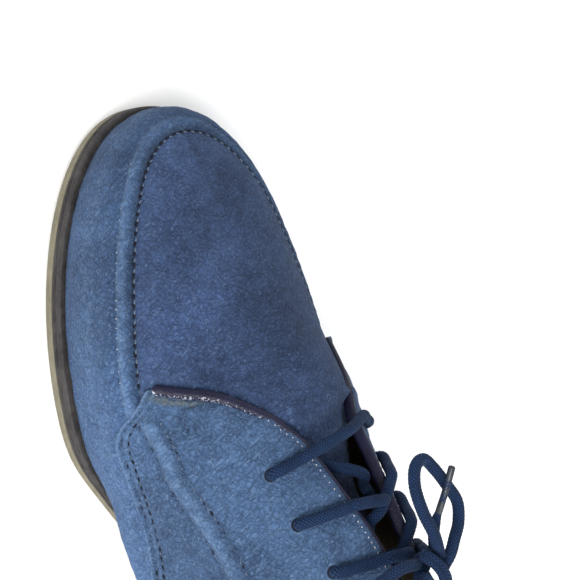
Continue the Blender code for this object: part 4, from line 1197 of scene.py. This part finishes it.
def offsetLine(side, table, low, high, distance, up=1.0, count=200):
    # a line a fixed distance to one side of another, measured along the leather
    columns = np.linspace(low, high, count)
    where = smooth(table, columns)
    u = columns * side
    for step in range(6):
        probe = np.clip(where + up * 0.02, 0.0, 4.0)
        size = np.linalg.norm(skin(u, probe) - skin(u, np.clip(where, 0.0, 4.0)), axis=-1) / 0.02
        where = np.clip(where + up * distance / 6.0 / np.maximum(size, 1.0), 0.0, 4.0)
    return u, where


def makeStitches():
    apron = np.concatenate((-np.linspace(12.3, 0.02, 260), np.linspace(0.0, 11.3, 260)))
    wallSize = np.linalg.norm(skin(apron, 2.8) - skin(apron, 3.0), axis=-1) / 0.2
    for kind, below, lift in (("apronHoles", 0.4, -0.1), ("apronThreads", 0.1, 0.15),
                              ("apronDimples", seam["outerAt"], -0.25),
                              ("apronFlecks", seam["outerAt"] - 0.2, 0.12)):
        stitchRow(kind, "", (apron, 3.0 - below / wallSize), lift)
    for side, label in ((1, "Lateral"), (-1, "Medial")):
        border, start = panels[side], panels[side]["low"][0][0]
        for k, distance in enumerate(seam["quarterRows"]):
            line = offsetLine(side, border["low"], start + 0.9 + 0.25 * k, 33.0, distance)
            stitchRow("quarterHoles", label + str(k + 1), line, 1.2)
            stitchRow("quarterThreads", label + str(k + 1), line, 1.25)
        line = offsetLine(side, facingSeam, start + 0.5, 30.0, 0.0)
        level = 0.85 - 0.49 * ease(np.abs(line[0]), 24.0, 34.0)
        stitchRow("facingHoles", label, line, level)
        stitchRow("facingThreads", label, line, level + 0.25)
        line = offsetLine(side, facingSeam, start + 1.6, 30.0, seam["facingOuter"], -1.0)
        stitchRow("cordHoles", label, line, level + 0.15)
        stitchRow("cordThreads", label, line, level + 0.3)
        # painted glints: near-white threads just inside each bound facing edge
        first = 16.5 if side > 0 else 21.5
        wide = bindingLine(side, np.linspace(first, 40.0, 420))[2]
        line = offsetLine(side, border["high"], first, 40.0, wide + 0.5, -1.0, 420)
        stitchRow("bindingGlints", label, line, 1.35)


makeBinding(1, "bindingLateral")
makeBinding(-1, "bindingMedial")
makeStitches()
print("seams and stitches in")

# rings as (radius, height over the leather): the suede drawn in round a hole, and the cup inside it,
# near-black for painted shade
eyelet = {"sides": 24, "lips": ((3.85, 0.9), (3.15, 1.40), (2.60, 1.50), (2.30, 1.35), (2.15, 0.5)),
          "cup": ((2.25, 1.5), (1.88, 1.56), (0.02, 1.5))}


def makeEyelets():
    # plain punched holes
    for name, rings, look, slot in (("eyeletLips", eyelet["lips"], "suede", "blue_suede"),
                                    ("eyeletHoles", eyelet["cup"], "hole", "navy_lace")):
        points, faces = [], []
        angle = (np.arange(eyelet["sides"]) * fullTurn / eyelet["sides"])[:, None]
        for side, row in ((side, row) for side in (1, -1) for row in range(4)):
            centre, normal = eyeletAt(side, row)
            ref = unit(np.cross(normal, np.array((0.0, 1.0, 0.0))))
            ring = ref * np.cos(angle) + np.cross(normal, ref) * np.sin(angle)
            faces += gridFaces(len(rings), eyelet["sides"], True, len(points))
            for radius, height in rings:
                points += list(centre + ring * radius + normal * height)
        wearAndGlint = np.full(len(points), 0.3) if look == "suede" else None
        addPiece(name, np.array(points), faces, [finish[look]], wearAndGlint=wearAndGlint)


backStrip = {"from": 41.6, "lift": 1.15, "crown": 1.1}


def makeBackStrip():
    start = backStrip["from"]
    u, where, base, normal = leatherGrid(
        np.concatenate((np.linspace(start, 43.95, 24), -np.linspace(lastColumn, start, 24))),
        np.linspace(0.1, 3.98, 90))
    edge = np.abs(np.linspace(-1.0, 1.0, u.shape[1]))
    lift = backStrip["lift"] + backStrip["crown"] * np.sqrt(1.0 - edge ** 8) + 0.1 * ripple(base, 6.0)
    sheetPiece("backStrip", base + normal * lift[..., None], base + normal * 0.6, [finish["suede"]],
               np.broadcast_to(0.6 * edge ** 10, where.shape))


makeEyelets()
makeBackStrip()

tread = {"pitch": 5.2, "depth": 1.0, "inset": 4.9, "wave": 1.4, "waveLength": 6.0, "from": 0.62, "soft": 0.18}
levels = {"ground": soleBase, "outsole": outsoleTop, "midsole": midsoleTop}
# rings round the shoe: offset from the edge, the level each follows, height over that, wear
weltRings = ((-13.0, "outsole", 0.12, 0.0), (-0.9, "outsole", 0.12, 0.0), (-0.35, "outsole", 0.45, 0.3),
             (-0.1, "outsole", 1.0, 0.5), (-0.05, "midsole", -3.1, 0.2), (-0.55, "midsole", -2.75, 0.0),
             (-0.55, "midsole", -2.45, 0.0), (-0.1, "midsole", -2.1, 0.3), (-0.15, "midsole", -0.9, 0.3),
             (-0.5, "midsole", -0.3, 0.8), (-1.1, "midsole", -0.02, 0.5), (-2.4, "midsole", -0.35, 0.0),
             (-3.6, "midsole", -0.05, 0.0), (-13.0, "midsole", 0.0, 0.0))
outsoleRings = ((-1.4, "ground", 0.0, 0.5), (-0.7, "ground", 0.25, 0.7), (-0.2, "ground", 0.9, 0.4),
                (-0.02, "ground", 1.8, 0.1), (0.0, "outsole", -0.9, 0.1), (-0.12, "outsole", -0.3, 0.5),
                (-0.5, "outsole", 0.04, 0.6), (-13.0, "outsole", 0.04, 0.0), (-13.0, "outsole", -1.5, 0.0),
                (-8.0, "outsole", -1.5, 0.0), (-5.0, "ground", 1.0, 0.0), (-4.6, "ground", 0.02, 0.4))
# the heel's top piece as (offset, z, wear), then the stacked lifts as (offset, part of the height, wear)
heelRings = ((-8.0, 0.75, 0.0), (-5.4, 0.7, 0.0), (-5.0, 0.0, 0.3), (-1.7, 0.0, 0.5), (-1.0, 0.35, 0.6),
             (-0.6, 1.0, 0.4), (-0.5, 2.6, 0.1), (-0.75, 2.8, 0.0), (-0.45, 3.0, 0.1))
heelLifts = ((-0.45, 0.3, 0.1), (-0.33, 0.31, 0.1), (-0.45, 0.62, 0.1), (-0.33, 0.63, 0.1),
             (-0.45, 0.97, 0.1), (-0.5, 1.0, 0.1))
sock = {"clear": 1.0, "lift": 0.1, "thick": 2.3, "cup": 0.6}


def outlinePoint(u, offset=0.0):
    u = np.asarray(u, float)
    column, lateral = np.abs(u), (u >= 0)[:, None]

    def feather(at):
        return np.where(lateral, lowerRow(1, "feather", at), lowerRow(-1, "feather", at))

    p = feather(column)
    run = feather(np.clip(column + 0.02, 0.0, lastColumn)) - feather(np.clip(column - 0.02, 0.0, lastColumn))
    out = unit(np.stack((run[:, 1], -run[:, 0], np.zeros(len(u))), -1) * np.where(lateral, 1.0, -1.0))
    out[column < 0.02] = (0.0, -1.0, 0.0)
    out[column > lastColumn - 0.02] = (0.0, 1.0, 0.0)
    p[:, 2] = 0.0
    return p + out * np.asarray(offset, float)[..., None]


def marginAt(u, extra):
    return outlinePoint(u, smooth(margin, outlinePoint(u)[:, 1]) + extra)


def soleLoop():
    column = np.linspace(0.0, lastColumn, 360)
    return np.concatenate((column, -column[::-1][1:-1]))


def ringPiece(name, rings, wave, material):
    # closed band round the shoe; only its outer rings are uneven
    u = soleLoop()
    uneven = ripple(outlinePoint(u), 5.0, 2.0)
    grid = []
    for offset, level, height, wearAndGlint in rings:
        p = marginAt(u, offset + wave * uneven * (offset > -2.0))
        p[:, 2] = levels[level](p[:, 1]) + height
        grid.append(p)
    rows, columns = len(grid), len(u)
    faces = gridFaces(rows, columns, True)
    last = (rows - 1) * columns
    faces += [[last + c, last + (c + 1) % columns, (c + 1) % columns, c] for c in range(columns)]
    worn = np.repeat([ring[3] for ring in rings], columns)
    return addPiece(name, np.array(grid), faces, [material], wearAndGlint=worn)


def makeWelt():
    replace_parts(ringPiece("welt", weltRings, 0.10, finish["welt"]), "midsole")


def acrossSole(placer, columns, offset, count):
    # grid from the lateral edge over to the medial one
    left, right = placer(columns, offset), placer(-columns, offset)
    k = np.linspace(0.0, 1.0, count)
    return left[:, None] + (right - left)[:, None] * k[:, None], k, np.linalg.norm(right - left, axis=-1)


def makeOutsole():
    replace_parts(ringPiece("outsoleEdge", outsoleRings, 0.0, finish["tan"]), "outsole")
    # tread plate inside the rim
    columns = np.concatenate((np.linspace(0.35, 12.0, 130), np.linspace(12.1, 43.4, 300)))
    grid, k, width = acrossSole(marginAt, columns, -tread["inset"], 62)
    s = grid[..., 1]
    along = s + tread["wave"] * np.sin(grid[..., 0] / tread["waveLength"])
    groove = 0.5 + 0.5 * np.cos(along * fullTurn / tread["pitch"])
    depth = tread["depth"] * np.clip((groove - tread["from"]) / tread["soft"], 0.0, 1.0)
    depth = depth * ease(np.minimum(k, 1.0 - k) * width[:, None], 0.0, 1.2) + 0.02
    outer, inner = grid.copy(), grid.copy()
    outer[..., 2] = soleBase(s) + depth
    inner[..., 2] = outsoleTop(s) - 0.6
    sheetPiece("outsoleTread", outer, inner, [finish["tan"]], 0.6 * (1.0 - depth))


def makeHeel():
    column = np.linspace(0.0, lastColumn, 2000)
    start = float(np.interp(sole["breast"] + 2.0, lowerRow(1, "feather", column)[:, 1], column))
    half = np.linspace(start, lastColumn, 150)
    u = np.concatenate((half, -half[::-1][1:]))
    grid = []
    for offset, z, wearAndGlint in heelRings:
        p = marginAt(u, offset)
        p[:, 2] = z
        grid.append(p)
    top = heelRings[-1][1]
    for offset, part, wearAndGlint in heelLifts:
        p = marginAt(u, offset)
        p[:, 2] = top + (soleBase(p[:, 1]) - top) * part
        grid.append(p)
    grid[-1][:, 2] -= 0.02
    wearAndGlint = np.repeat([ring[2] for ring in heelRings + heelLifts], len(u))
    item = addPiece("heelBlock", np.array(grid), tubeFaces(len(grid), len(u)), [finish["tan"]],
                    wearAndGlint=wearAndGlint)
    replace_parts(item, "heel")


def makeSock():
    columns = np.concatenate((np.linspace(0.2, 12.0, 60), np.linspace(12.3, 43.7, 160)))
    grid, k, width = acrossSole(outlinePoint, columns, -(shoe["wall"] + sock["clear"]), 41)
    cup = np.abs(2.0 * k - 1.0) ** 4
    outer, inner = grid.copy(), grid.copy()
    bed = midsoleTop(grid[..., 1]) + sock["lift"]
    outer[..., 2] = bed + sock["thick"] + sock["cup"] * cup + 0.12 * ripple(grid, 14.0)
    inner[..., 2] = bed + 0.02
    item = sheetPiece("sock", outer, inner, [finish["sock"]],
                      np.broadcast_to(0.5 * cup, grid.shape[:2]))
    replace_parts(item, "insole")


makeWelt()
makeOutsole()
makeHeel()
makeSock()
print("sole built")
